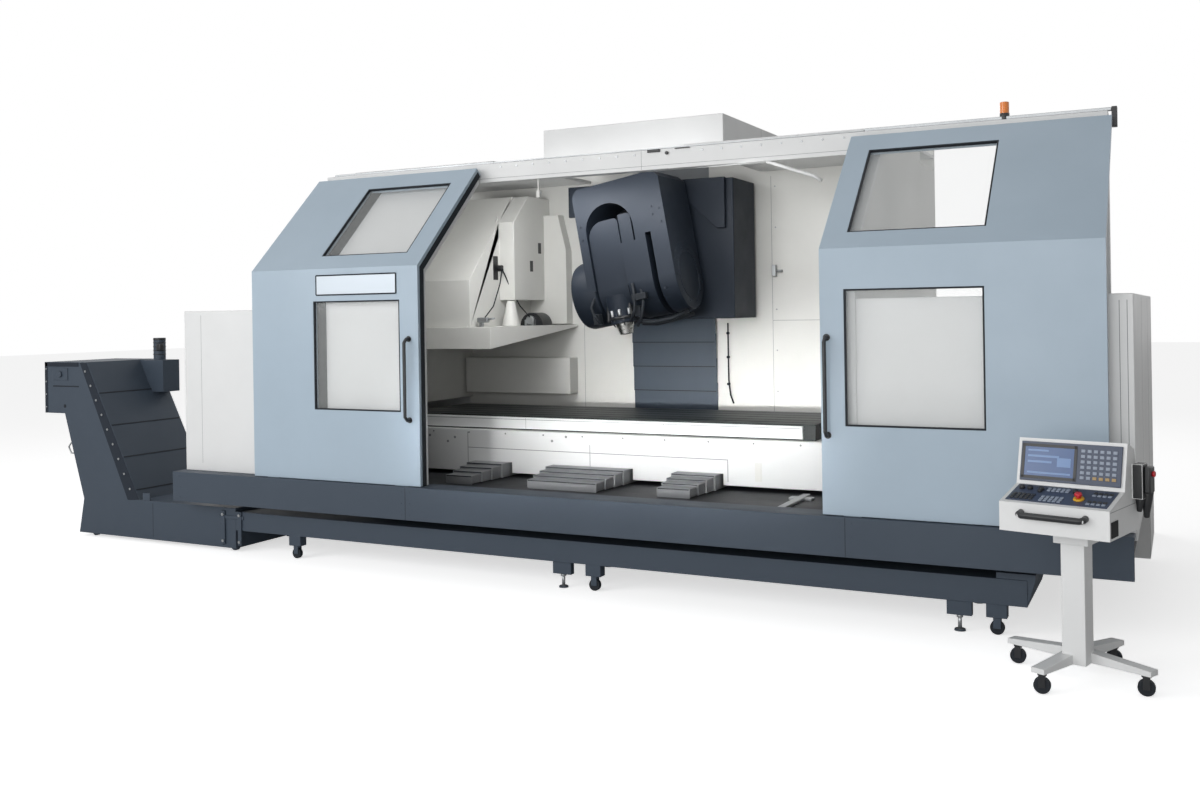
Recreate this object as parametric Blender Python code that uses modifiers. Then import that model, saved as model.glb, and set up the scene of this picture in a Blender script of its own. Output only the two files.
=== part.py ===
"""Five-axis machining center: a bed machine with a tilting two-axis spindle head.

Metres, +Z up, +X to the operator's right, the operator stands on the -Y side.
The origin is on the floor, straight under the column's centre line and the
middle of the bed. Every object is one rigid piece of the machine.
"""

import math

import bmesh
import bpy
from mathutils import Euler, Matrix, Vector

# Gaps: faces that touch keep SEAT, sliding faces keep RUN, moving pieces keep CLEAR.
SEAT = 0.0003
RUN = 0.0006
CLEAR = 0.006

# Doors and the front opening
DOOR_FACE_Y = -2.200
DOOR_THICK = 0.050
DOOR_WIDTH = 1.780
DOOR_FLANGE_WIDTH = 0.050
DOOR_FLANGE_DEPTH = 0.080
OPENING_LEFT_X = -0.995
OPENING_WIDTH = 3.322
DOOR_FOLD_Z = 2.528
DOOR_TOP_Z = 3.406
DOOR_SETBACK = 0.905
WINDOW_Z = (1.333, 2.253)
LEFT_WINDOW_MARGINS = (0.690, 0.185)
RIGHT_WINDOW_MARGINS = (0.164, 0.711)
UPPER_WINDOW_SHARE = (0.129, 0.856)
GLASS_THICK = 0.008
HANDLE_LENGTH = 0.66
HANDLE_RADIUS = 0.014
HANDLE_REACH = 0.065
HANDLE_BEND = 0.030
LEFT_HANDLE_INSET = 0.095
RIGHT_HANDLE_INSET = 0.045
HANDLE_Z = 1.60
ROLLER_WIDTH = 0.120
ROLLER_HEIGHT = 0.030
ROLLER_INSET = 0.200

# Fixed front panels behind the doors
PANEL_Y = -2.100
PANEL_SETBACK = 0.020
SHEET = 0.040
LEFT_PANEL_WIDTH = 1.015
LEFT_POCKET_WIDTH = 0.420
RIGHT_PANEL_WIDTH = 0.197

# Side housings and plinth
LEFT_HOUSING_WIDTH = 1.260
RIGHT_HOUSING_WIDTH = 1.706
HOUSING_TOP_Z = 2.190
MACHINE_REAR_Y = 2.000
SKIRT_Z = (0.460, 0.728)
SKIRT_FACE_Y = -2.236
SKIRT_OVERHANG = 0.030
SKIRT_SHORT = 0.012
SKIRT_LEDGE = 0.240
PAN_Z = (0.620, 0.660)

# Work space walls, ceiling and header
WALL_SLOT_Z = 1.400
BAY_WALL_FOOT_Z = 1.230
BAY_WALL_STEP = (0.130, 3.345)
CEILING_Z = 3.450
CEILING_THICK = 0.030
WALL_BOX_X = (-2.380, -1.105)
WALL_BOX_Z = (1.288, 1.658)
WALL_BOX_DEPTH = 0.175
HEADER_Z = (3.285, 3.450)
HEADER_DEPTH = 0.110
HEADER_GAP = 0.030
HEADER_OVERHANG = 0.030
POST_SIZE = 0.100
LAMP_X = 3.400
LAMP_RADIUS = 0.032
LAMP_HEIGHT = 0.130

# Bed and ways
BED_SIDE_GAP = 0.150
BED_FOOT_Z = 0.110
BED_FRONT_Y = -1.120
BED_REAR_Y = 1.900
PAD_RADIUS = 0.110
PAD_PITCH = 1.000
PAD_STEPS = 2
PAD_INSET_Y = 0.200
WAY_XS = (-1.071, -0.062, 0.941)
WAY_WIDTHS = (0.180, 0.440, 0.190)
WAY_TOP_Z = 0.712
COVER_FRONT_Y = -1.540
COVER_WIDTHS = (0.272, 0.652, 0.282)
COVER_TOP_Z = 0.735
COVER_STEP = 0.018
COVER_WALL = 0.006
COVER_LENGTH = 0.340
COVER_COUNT = 4
COVER_FOOT_Z = 0.668
WIPER_LENGTH = 0.018

# Saddle and table, at rest
SADDLE_SIDE_GAP = 0.170
SADDLE_FOOT_Z = 0.695
SADDLE_TOP_Z = 1.073
SADDLE_APRON = 0.060
SADDLE_OUTSET = 0.091
TABLE_LENGTH = 4.000
TABLE_SIDE_GAP = 0.357
TABLE_WIDTH = 1.057
TABLE_TOP_Z = 1.203
TABLE_REAR_TRAVEL = 0.532
SLOT_COUNT = 5
SLOT_WIDTH = 0.022
SLOT_DEPTH = 0.040
SLOT_PITCH = 0.200
APRON_THICK = 0.030
APRON_Z = (1.086, 1.188)
APRON_SHORT = 0.100

# Column and roof
COLUMN_HALF_WIDTH = 0.700
COLUMN_Y = (0.860, 1.760)
ROOF_HALF_WIDTH = 0.915
ROOF_FOOT_Z = 3.570
ROOF_TOP_Z = 3.870
ROOF_Y = (-0.250, 1.800)
ROOF_WALL = 0.030

# Head carriage on its vertical slide, at rest
CARRIAGE_X = (-0.620, 0.870)
CARRIAGE_Z = (2.050, 3.340)
CARRIAGE_FACE_Y = 0.100
CARRIAGE_REAR_Y = 0.680
CARRIAGE_SLIDE_X = 0.380
CARRIAGE_SLIDE_Z = (2.380, 3.200)
HOOD_X = (-0.820, 0.800)
HOOD_Z = (2.880, 3.345)
HOOD_THICK = 0.045
HOOD_LEFT_Z = 3.050
HOOD_NOTCH_X = (0.250, 0.320, 0.720)
HOOD_NOTCH_Z = 3.250

# Two-axis tilting head: X across and Z up from the swivel, before its tilt
YOKE_PIVOT = (0.0, -0.010, 2.850)
YOKE_TILT = math.radians(10)
YOKE_DEPTH = 0.620
YOKE_X = (-0.353, 0.515)
YOKE_TOP = 0.440
YOKE_CHAMFER = 0.060
YOKE_FACE_DEPTH = 0.0015
EAR_X = 0.170
EAR_TOP = 0.133
EAR_SETBACK = 0.035
RECESS_STEP_Z = -0.127
WEB_FOOT = -0.150
WEB_THICK = 0.100
BEARING_RADIUS = 0.185
FORK_DROP = 0.500
LOBE_X = (-0.540, 0.520)
LOBE_BEVEL = 0.045
LOBE_STEP = 0.002
FORK_X = (-0.270, 0.050)
RECESS_RADIUS = 0.235
RECESS_TOP = 0.255
GROOVE_X = (0.300, 0.355)
GROOVE_TOP = -0.085
GROOVE_DEPTH = 0.430
SPINDLE_GAP = 0.008
SPINDLE_RADIUS = 0.285
SPINDLE_THICK = 0.200
SPINDLE_TOP = 0.112
SPINDLE_CORNER = 0.040
SPINDLE_AXIS_X = -0.110
SPINDLE_AXIS_DEPTH = 0.150
TRUNNION_RADIUS = 0.090
NECK_RADII = (0.148, 0.120)
NECK_HEIGHT = 0.250
NECK_FOOT = -0.820
NOSE_RADII = (0.085, 0.060)
NOSE_LENGTH = 0.100

# Telescopic slats under the head carriage
SLAT_WIDTH = 0.900
SLAT_COUNT = 4
SLAT_STEP = 0.014
SLAT_THICK = 0.008
SLAT_LENGTH = 0.330
SLAT_FOOT_Z = 1.085

# Tool changer: front, foot, fold and top of its two stepped boxes, and its side plate
CHANGER_TOP_Z = 3.316
CHANGER_FOOT_Z = 2.000
CHANGER_RIGHT_X = -1.593
CHANGER_FRONT_Y = -0.541
CHANGER_FOLD_Z = 2.453
CHANGER_TOP_Y = 0.254
STEP_RIGHT_X = -1.417
STEP_FRONT_Y = 0.002
STEP_FOOT_Z = 2.259
STEP_FOLD_Z = 3.036
STEP_TOP_Y = 0.297
PLATE_RIGHT_X = -1.158
PLATE_DEPTH = 0.120
PLATE_Z = (2.010, 2.774, 3.140)
PLATE_CHAMFER = 0.250
SHELF_FRONT_Y = -0.600
SHELF_THICK = 0.210
SHELF_REAR_THICK = 0.020
SHELF_RIGHT_X = (-1.327, -1.094)
GRIPPER_X = -1.345
GRIPPER_Y = (0.200, 0.400)
GRIPPER_RADIUS = 0.130

# Chip conveyor and coolant trough
TROUGH_Y = (-2.060, -1.200)
TROUGH_Z = (0.200, 0.370)
TROUGH_LEFT_X = -3.150
TROUGH_RIGHT_X = 3.610
TROUGH_END = (0.190, 0.050)
TROUGH_END_Z = 0.410
TROUGH_FOOT_XS = (0.215, 3.185)
TROUGH_CASTER_XS = (-2.460, 0.490, 3.420)
FOOT_RADIUS = 0.012
FOOT_INSET = 0.080
BRACKET_SIZE = (0.160, 0.095)
CASTER_RADIUS = 0.045
CASTER_WIDTH = 0.035
CONVEYOR_HEAD_Z = 1.710
CONVEYOR_LEFT_X = -5.700
CONVEYOR_FOOT_Z = 0.035
CONVEYOR_FLANGE = 0.070
OUTLET_FOOT_Z = 1.200
OUTLET_DEPTH = 0.290
INCLINE_HEEL_X = -5.150
INCLINE_HEEL_Z = 0.370
INCLINE_FOOT_X = -4.380
INCLINE_FOOT_Z = 0.400
INCLINE_TOP_X = -5.080
DRIVE_SIZE = (0.330, 0.220, 0.330)
MOTOR_RADIUS = 0.060
MOTOR_HEIGHT = 0.220

# Operator console, its own X across and Y to its back, from its column
CONSOLE_X = 3.965
CONSOLE_Y = -2.832
CONSOLE_TURN = math.radians(-14.7)
BASE_BACK = 0.080
BASE_TURN = math.radians(-25.0)
CONSOLE_WIDTH = 0.590
CONSOLE_FRONT = -0.350
CONSOLE_FOOT_Z = 0.880
CONSOLE_LIP_Z = 1.040
DESK_DEPTH = 0.250
DESK_TOP_Z = 1.110
SCREEN_TOP_Z = 1.366
SCREEN_LEAN = 0.060
SCREEN_HEAD_DEPTH = 0.110
CONSOLE_DEPTH = 0.500
DISPLAY_THICK = 0.012
DISPLAY_MARGIN = 0.020
COLUMN_SIZE = 0.130
COLLAR_SIZE = 0.190
COLLAR_Z = 0.790
BASE_REACH = 0.430
BASE_BAR = 0.080
BASE_Z = (0.115, 0.175)
BASE_CASTER_RADIUS = 0.045
CONSOLE_HANDLE_HALF = 0.170
CONSOLE_HANDLE_REACH = 0.045
CONSOLE_HANDLE_RADIUS = 0.011
PENDANT_SIZE = (0.055, 0.090, 0.190)
PENDANT_FOOT_Z = 1.060

# Places that follow from the sizes above
OPENING_RIGHT_X = OPENING_LEFT_X + OPENING_WIDTH
BAY_LEFT_X = OPENING_LEFT_X - PANEL_SETBACK - LEFT_PANEL_WIDTH - LEFT_POCKET_WIDTH
BAY_RIGHT_X = OPENING_RIGHT_X + PANEL_SETBACK + RIGHT_PANEL_WIDTH
HOUSING_LEFT_X = BAY_LEFT_X - LEFT_HOUSING_WIDTH
HOUSING_RIGHT_X = BAY_RIGHT_X + RIGHT_HOUSING_WIDTH
SKIRT_REAR_Y = SKIRT_FACE_Y + SKIRT_LEDGE
HEADER_Y = DOOR_FACE_Y + DOOR_SETBACK + DOOR_THICK + HEADER_GAP
SLAT_FACE_Y = CARRIAGE_REAR_Y + SEAT + (SLAT_COUNT - 1) * SLAT_STEP
BACK_WALL_Y = SLAT_FACE_Y + SLAT_THICK + SEAT
BED_TOP_Z = PAN_Z[0] - SEAT
TABLE_LEFT_X = BAY_LEFT_X + TABLE_SIDE_GAP
TABLE_REAR_Y = CARRIAGE_REAR_Y - TABLE_REAR_TRAVEL
TABLE_FACE_Y = TABLE_REAR_Y - TABLE_WIDTH
TABLE_FOOT_Z = SADDLE_TOP_Z + RUN
SADDLE_FACE_Y = TABLE_FACE_Y - SADDLE_OUTSET
SADDLE_REAR_Y = CARRIAGE_REAR_Y - TABLE_REAR_TRAVEL - SADDLE_OUTSET - WIPER_LENGTH
SADDLE_NOTCH_Z = COVER_TOP_Z + (COVER_COUNT - 1) * COVER_STEP + SEAT

FINISHES = {
    "white_paint": ((0.86, 0.87, 0.85), 0.45, 0.0),
    "blue_paint": ((0.47, 0.58, 0.66), 0.40, 0.0),
    "dark_paint": ((0.045, 0.055, 0.075), 0.45, 0.0),
    "grey_paint": ((0.12, 0.14, 0.17), 0.45, 0.0),
    "cover_steel": ((0.16, 0.17, 0.17), 0.35, 0.6),
    "table_iron": ((0.03, 0.035, 0.04), 0.50, 0.5),
    "bright_steel": ((0.60, 0.60, 0.58), 0.25, 1.0),
    "black_plastic": ((0.015, 0.015, 0.017), 0.40, 0.0),
    "glass": ((0.85, 0.90, 0.90), 0.05, 0.0),
    "screen": ((0.08, 0.17, 0.35), 0.20, 0.0),
    "lamp_orange": ((0.85, 0.35, 0.04), 0.30, 0.0),
    "pan_paint": ((0.02, 0.025, 0.035), 0.55, 0.0),
}


def clear_scene():
    """Removes every object that the scene holds."""
    for old in list(bpy.data.objects):
        bpy.data.objects.remove(old, do_unlink=True)


def new_collection(name):
    """A collection linked under the scene's own."""
    collection = bpy.data.collections.new(name)
    bpy.context.scene.collection.children.link(collection)
    return collection


clear_scene()
PARTS = new_collection("machining_center")
CUTTERS = new_collection("cutters")
MATERIALS = {}


def finish_material(finish):
    """The Principled material of one finish, made once."""
    if finish not in MATERIALS:
        colour, roughness, metallic = FINISHES[finish]
        material = bpy.data.materials.new(finish)
        material.use_nodes = True
        shader = material.node_tree.nodes["Principled BSDF"]
        shader.inputs["Base Color"].default_value = (*colour, 1.0)
        shader.inputs["Roughness"].default_value = roughness
        shader.inputs["Metallic"].default_value = metallic
        material.diffuse_color = (*colour, 1.0)
        MATERIALS[finish] = material
    return MATERIALS[finish]


def add_object(name, mesh, finish=None, location=(0, 0, 0), turn=(0, 0, 0)):
    """An object of the mesh: a part where it has a finish, otherwise a cutter."""
    obj = bpy.data.objects.new(name, mesh)
    obj.location = location
    obj.rotation_euler = turn
    if finish:
        mesh.materials.append(finish_material(finish))
        PARTS.objects.link(obj)
    else:
        CUTTERS.objects.link(obj)
        obj.hide_render = True
        obj.display_type = "WIRE"
    return obj


def add_box(name, low, high, finish=None, turn=(0, 0, 0)):
    """A box between two corners, with its origin at its centre."""
    low, high = Vector(low), Vector(high)
    mesh = bpy.data.meshes.new(name)
    shape = bmesh.new()
    bmesh.ops.create_cube(shape, size=1.0)
    bmesh.ops.scale(shape, vec=high - low, verts=shape.verts)
    shape.to_mesh(mesh)
    shape.free()
    return add_object(name, mesh, finish, (low + high) / 2, turn)


def add_cylinder(name, radius, start, end, finish=None, sides=32, end_radius=None):
    """A round bar or cone from one point to another, with its origin at its middle."""
    start, end = Vector(start), Vector(end)
    mesh = bpy.data.meshes.new(name)
    shape = bmesh.new()
    top = radius if end_radius is None else end_radius
    depth = (end - start).length
    bmesh.ops.create_cone(
        shape, cap_ends=True, segments=sides, radius1=radius, radius2=top, depth=depth
    )
    shape.to_mesh(mesh)
    shape.free()
    obj = add_object(name, mesh, finish, (start + end) / 2)
    obj.rotation_euler = (end - start).to_track_quat("Z", "Y").to_euler()
    for face in mesh.polygons:
        face.use_smooth = len(face.vertices) == 4
    return obj


def curve_mesh(curve, name):
    """The mesh that a curve makes, with its caps welded."""
    guide = bpy.data.objects.new(name + "_guide", curve)
    CUTTERS.objects.link(guide)
    graph = bpy.context.evaluated_depsgraph_get()
    mesh = bpy.data.meshes.new_from_object(guide.evaluated_get(graph))
    bpy.data.objects.remove(guide, do_unlink=True)
    shape = bmesh.new()
    shape.from_mesh(mesh)
    bmesh.ops.remove_doubles(shape, verts=shape.verts, dist=0.00002)
    bmesh.ops.recalc_face_normals(shape, faces=shape.faces)
    shape.to_mesh(mesh)
    shape.free()
    mesh.materials.clear()
    return mesh


# Turns that lay a flat outline in the YZ plane (thickness along X) or in the XZ plane.
ACROSS_X = (math.radians(90), 0, math.radians(90))
ACROSS_Y = (math.radians(90), 0, 0)
ACROSS_Z = (0, 0, 0)


def add_profile(name, outline, thickness, location, turn, finish=None, holes=()):
    """A flat outline, with holes, thickened equally to both sides of its plane."""
    curve = bpy.data.curves.new(name, "CURVE")
    curve.dimensions = "2D"
    curve.fill_mode = "BOTH"
    curve.extrude = thickness / 2
    for points in (outline, *holes):
        spline = curve.splines.new("POLY")
        spline.points.add(len(points) - 1)
        for point, (x, y) in zip(spline.points, points):
            point.co = (x, y, 0, 1)
        spline.use_cyclic_u = True
        spline.use_smooth = False
    return add_object(name, curve_mesh(curve, name), finish, location, turn)


def add_tube(name, points, radius, finish=None, sides=3):
    """A bar that follows points, with closed ends."""
    curve = bpy.data.curves.new(name, "CURVE")
    curve.dimensions = "3D"
    curve.bevel_depth = radius
    curve.bevel_resolution = sides
    curve.use_fill_caps = True
    spline = curve.splines.new("POLY")
    spline.points.add(len(points) - 1)
    for point, place in zip(spline.points, points):
        point.co = (*place, 1)
    mesh = curve_mesh(curve, name)
    mesh.shade_smooth()
    mesh.set_sharp_from_angle(angle=math.radians(40))
    return add_object(name, mesh, finish)


def rectangle(low, high):
    """The corners of a rectangle."""
    return [(low[0], low[1]), (high[0], low[1]), (high[0], high[1]), (low[0], high[1])]


def arc(centre, radius, start, end, steps):
    """Points along an arc, its angles in degrees."""
    points = []
    for step in range(steps + 1):
        angle = math.radians(start + (end - start) * step / steps)
        points.append((centre[0] + radius * math.cos(angle), centre[1] + radius * math.sin(angle)))
    return points


def combine(target, tool, operation):
    """Adds an exact Boolean of the tool to the target."""
    if tool.name in PARTS.objects:
        PARTS.objects.unlink(tool)
        CUTTERS.objects.link(tool)
    tool.hide_render = True
    tool.display_type = "WIRE"
    modifier = target.modifiers.new(operation.title() + "_" + tool.name, "BOOLEAN")
    modifier.operation = operation
    modifier.solver = "EXACT"
    modifier.object = tool
    return target


def cut(target, *tools):
    """Takes each tool's space out of the target."""
    for tool in tools:
        combine(target, tool, "DIFFERENCE")
    return target


def join(target, *tools):
    """Fuses each tool to the target."""
    for tool in tools:
        combine(target, tool, "UNION")
    return target


def add_axis(name, location, turn=(0, 0, 0)):
    """An empty that stands on a joint's axis."""
    empty = bpy.data.objects.new(name, None)
    empty.location = location
    empty.rotation_euler = turn
    empty.empty_display_size = 0.2
    PARTS.objects.link(empty)
    return empty


def carry(empty, *objects):
    """Parents objects, and the tools of their Booleans, to an axis where they stand."""
    bpy.context.view_layer.update()
    home = empty.matrix_world.inverted()
    for obj in objects:
        tools = [modifier.object for modifier in obj.modifiers if modifier.type == "BOOLEAN"]
        for piece in (obj, *tools):
            piece.parent = empty
            piece.matrix_parent_inverse = home


def slope_turn():
    """How far the upper part of a door leans back, about X."""
    return -math.atan2(DOOR_SETBACK, DOOR_TOP_Z - DOOR_FOLD_Z)


def slope_point(share, depth=0.0):
    """A point on a door's slope: a share of its length up from the fold, and inwards by depth."""
    lean = -slope_turn()
    y = DOOR_FACE_Y + DOOR_SETBACK * share + depth * math.cos(lean)
    z = DOOR_FOLD_Z + (DOOR_TOP_Z - DOOR_FOLD_Z) * share - depth * math.sin(lean)
    return y, z


def slope_plate(name, x_low, x_high, thickness, depth, margin, finish=None):
    """A plate set in a door's slope over the upper window, inset by a margin."""
    length = math.hypot(DOOR_SETBACK, DOOR_TOP_Z - DOOR_FOLD_Z)
    tall = length * (UPPER_WINDOW_SHARE[1] - UPPER_WINDOW_SHARE[0]) - 2 * margin
    y, z = slope_point(sum(UPPER_WINDOW_SHARE) / 2, depth)
    wide = (x_high - x_low) / 2 - margin
    plate = add_box(name, (-wide, -thickness / 2, -tall / 2), (wide, thickness / 2, tall / 2), finish)
    plate.location = ((x_low + x_high) / 2, y, z)
    plate.rotation_euler = (slope_turn(), 0, 0)
    return plate


def bent_band(near, far, bottom, share=1.0):
    """The space between two depths behind a door's face, as (y, z) points: upright, then leaning back."""
    lean = -slope_turn()
    near_fold = DOOR_FOLD_Z - near * math.tan(lean / 2)
    far_fold = DOOR_FOLD_Z - far * math.tan(lean / 2)
    return [
        (DOOR_FACE_Y + near, bottom),
        (DOOR_FACE_Y + far, bottom),
        (DOOR_FACE_Y + far, far_fold),
        slope_point(share, far),
        slope_point(share, near),
        (DOOR_FACE_Y + near, near_fold),
    ]


def build_door(side, left_x, margins, handle_x, flange_x):
    """One sliding door with its panes, handle and rollers. Returns its objects."""
    right_x = left_x + DOOR_WIDTH
    middle = (left_x + right_x) / 2
    window_x = left_x + margins[0]
    window_right = right_x - margins[1]
    bottom = SKIRT_Z[1] + CLEAR
    panel = add_profile(
        side + "_door", bent_band(0.0, DOOR_THICK, bottom), DOOR_WIDTH, (middle, 0, 0), ACROSS_X, "blue_paint"
    )
    flange = add_profile(
        side + "_flange",
        bent_band(DOOR_THICK / 2, DOOR_FLANGE_DEPTH, bottom),
        DOOR_FLANGE_WIDTH,
        (flange_x, 0, 0),
        ACROSS_X,
    )
    low_cut = add_box(
        side + "_low_cut",
        (window_x, DOOR_FACE_Y - DOOR_THICK, WINDOW_Z[0]),
        (window_right, DOOR_FACE_Y + 2 * DOOR_THICK, WINDOW_Z[1]),
    )
    high_cut = slope_plate(side + "_high_cut", window_x, window_right, 4 * DOOR_THICK, DOOR_THICK / 2, 0.0)
    join(panel, flange)
    cut(panel, low_cut, high_cut)
    for index, x in enumerate((left_x + ROLLER_INSET, right_x - ROLLER_INSET)):
        roller = add_box(
            f"{side}_roller_{index}",
            (x - ROLLER_WIDTH / 2, DOOR_FACE_Y + 0.2 * DOOR_THICK, SKIRT_Z[1] + RUN),
            (x + ROLLER_WIDTH / 2, DOOR_FACE_Y + 0.8 * DOOR_THICK, SKIRT_Z[1] + ROLLER_HEIGHT),
        )
        join(panel, roller)
    pane_y = DOOR_FACE_Y + DOOR_THICK / 2
    low_pane = add_box(
        side + "_door_glass",
        (window_x + SEAT, pane_y - GLASS_THICK / 2, WINDOW_Z[0] + SEAT),
        (window_right - SEAT, pane_y + GLASS_THICK / 2, WINDOW_Z[1] - SEAT),
        "glass",
    )
    high_pane = slope_plate(
        side + "_upper_glass", window_x, window_right, GLASS_THICK, DOOR_THICK / 2, SEAT, "glass"
    )
    half = HANDLE_LENGTH / 2
    face = DOOR_FACE_Y - SEAT
    handle = add_tube(
        side + "_door_handle",
        [
            (handle_x, face, HANDLE_Z - half),
            (handle_x, face - HANDLE_REACH + HANDLE_BEND, HANDLE_Z - half),
            (handle_x, face - HANDLE_REACH, HANDLE_Z - half + HANDLE_BEND),
            (handle_x, face - HANDLE_REACH, HANDLE_Z + half - HANDLE_BEND),
            (handle_x, face - HANDLE_REACH + HANDLE_BEND, HANDLE_Z + half),
            (handle_x, face, HANDLE_Z + half),
        ],
        HANDLE_RADIUS,
        "black_plastic",
    )
    return panel, low_pane, high_pane, handle


def build_doors():
    """Both sliding doors, each on its own slide axis."""
    inset = DOOR_FLANGE_WIDTH / 2
    left = build_door(
        "left",
        OPENING_LEFT_X - DOOR_WIDTH,
        LEFT_WINDOW_MARGINS,
        OPENING_LEFT_X - LEFT_HANDLE_INSET,
        OPENING_LEFT_X - inset,
    )
    right = build_door(
        "right",
        OPENING_RIGHT_X,
        RIGHT_WINDOW_MARGINS,
        OPENING_RIGHT_X + RIGHT_HANDLE_INSET,
        OPENING_RIGHT_X + inset,
    )
    for side, x, pieces in (("left", OPENING_LEFT_X, left), ("right", OPENING_RIGHT_X, right)):
        carry(add_axis(side + "_door_slide", (x, DOOR_FACE_Y, SKIRT_Z[1])), *pieces)


def build_skirt():
    """The dark plinth under the doors, and the ledge that their rollers run on."""
    left = HOUSING_LEFT_X - SKIRT_OVERHANG
    right = HOUSING_RIGHT_X - SKIRT_SHORT
    add_box(
        "front_skirt", (left, SKIRT_FACE_Y, SKIRT_Z[0]), (right, SKIRT_FACE_Y + SHEET, SKIRT_Z[1]), "dark_paint"
    )
    add_box(
        "skirt_ledge",
        (left, SKIRT_FACE_Y + SHEET + SEAT, SKIRT_Z[1] - SHEET),
        (right, SKIRT_REAR_Y, SKIRT_Z[1]),
        "dark_paint",
    )


def build_pan():
    """The dark chip floor between the plinth and the bed, slotted for the ways."""
    pan = add_box(
        "floor_pan",
        (HOUSING_LEFT_X + SHEET, SKIRT_FACE_Y + SHEET + SEAT, PAN_Z[0]),
        (HOUSING_RIGHT_X - SKIRT_SHORT, BACK_WALL_Y - SEAT, PAN_Z[1]),
        "pan_paint",
    )
    for index, (x, width) in enumerate(zip(WAY_XS, WAY_WIDTHS)):
        slot = add_box(
            f"pan_slot_{index}",
            (x - width / 2 - SEAT, COVER_FRONT_Y + COVER_WALL, PAN_Z[0] - SHEET),
            (x + width / 2 + SEAT, BACK_WALL_Y + SHEET, PAN_Z[1] + SHEET),
        )
        cut(pan, slot)


def build_bed():
    """The cast bed on its levelling pads, with three ways running to the operator."""
    bed = add_box(
        "bed",
        (BAY_LEFT_X + BED_SIDE_GAP, BED_FRONT_Y, BED_FOOT_Z),
        (BAY_RIGHT_X - BED_SIDE_GAP, BED_REAR_Y, BED_TOP_Z),
        "grey_paint",
    )
    for index, (x, width) in enumerate(zip(WAY_XS, WAY_WIDTHS)):
        way = add_box(
            f"way_{index}",
            (x - width / 2, COVER_FRONT_Y + COVER_WALL + CLEAR, BED_TOP_Z - 2 * SHEET),
            (x + width / 2, BACK_WALL_Y - SHEET, WAY_TOP_Z),
        )
        join(bed, way)
    for step in range(-PAD_STEPS, PAD_STEPS + 1):
        for row, y in enumerate((BED_FRONT_Y + PAD_INSET_Y, 0.0, BED_REAR_Y - PAD_INSET_Y)):
            x = step * PAD_PITCH
            pad = add_cylinder(
                f"pad_{step + PAD_STEPS}_{row}", PAD_RADIUS, (x, y, 0), (x, y, BED_FOOT_Z + SHEET), sides=24
            )
            join(bed, pad)


def channel(half, top, foot, wall):
    """A channel open at the bottom, as (x, z) points, with its outer half width and top given."""
    return [
        (-half, foot),
        (-half + wall, foot),
        (-half + wall, top - wall),
        (half - wall, top - wall),
        (half - wall, foot),
        (half, foot),
        (half, top),
        (-half, top),
    ]


def cover_pitch():
    """How far apart the stages of a way cover stand at rest."""
    return (SADDLE_FACE_Y - COVER_FRONT_Y) / COVER_COUNT


def build_way_covers():
    """Three telescopic way covers. Returns the objects of each stage, front to back."""
    stages = []
    for stage in range(COVER_COUNT):
        pieces = []
        front = COVER_FRONT_Y + stage * cover_pitch()
        for name, x, width in zip(("left", "centre", "right"), WAY_XS, COVER_WIDTHS):
            half = width / 2 + stage * COVER_STEP
            top = COVER_TOP_Z + stage * COVER_STEP
            piece = add_profile(
                f"{name}_way_cover_{stage + 1}",
                channel(half, top, COVER_FOOT_Z, COVER_WALL),
                COVER_LENGTH,
                (x, front + COVER_LENGTH / 2, 0),
                ACROSS_Y,
                "cover_steel",
            )
            pieces.append(piece)
            if stage > 0:
                inset = COVER_WALL / 2
                wiper = add_profile(
                    f"{name}_wiper_{stage + 1}",
                    channel(half - inset, top - inset, COVER_FOOT_Z, COVER_STEP - inset - RUN),
                    WIPER_LENGTH,
                    (x, front + WIPER_LENGTH / 2, 0),
                    ACROSS_Y,
                )
                join(piece, wiper)
            else:
                half = width / 2 - COVER_WALL / 2
                face = add_box(
                    name + "_cover_face",
                    (x - half, front, PAN_Z[1] + SEAT),
                    (x + half, front + COVER_WALL, COVER_TOP_Z - COVER_WALL / 2),
                )
                join(piece, face)
        stages.append(pieces)
    return stages


def build_saddle(last_covers):
    """The saddle with its notched apron, which slides on the three ways."""
    left = BAY_LEFT_X + SADDLE_SIDE_GAP
    right = BAY_RIGHT_X - SADDLE_SIDE_GAP
    apron_rear = SADDLE_FACE_Y + SADDLE_APRON
    saddle = add_box(
        "saddle", (left, SADDLE_FACE_Y, SADDLE_FOOT_Z), (right, apron_rear, SADDLE_TOP_Z - RUN), "white_paint"
    )
    for index, (x, width) in enumerate(zip(WAY_XS, COVER_WIDTHS)):
        edge = width / 2 + COVER_COUNT * COVER_STEP
        notch = add_box(
            f"notch_{index}",
            (x - edge, SADDLE_FACE_Y - SADDLE_APRON, SADDLE_FOOT_Z - SHEET),
            (x + edge, apron_rear + SADDLE_APRON, SADDLE_NOTCH_Z),
        )
        cut(saddle, notch)
    slab = add_box(
        "saddle_slab",
        (left + CLEAR, SADDLE_FACE_Y + SADDLE_APRON / 2, SADDLE_NOTCH_Z + CLEAR),
        (right - CLEAR, SADDLE_REAR_Y, SADDLE_TOP_Z),
    )
    join(saddle, slab)
    for index, (x, width) in enumerate(zip(WAY_XS, WAY_WIDTHS)):
        shoe = add_box(
            f"shoe_{index}",
            (x - width / 2, SADDLE_FACE_Y + COVER_LENGTH + SHEET, WAY_TOP_Z + RUN),
            (x + width / 2, SADDLE_REAR_Y - WIPER_LENGTH, SADDLE_NOTCH_Z + COVER_STEP),
        )
        join(saddle, shoe)
    return saddle, *last_covers


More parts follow.
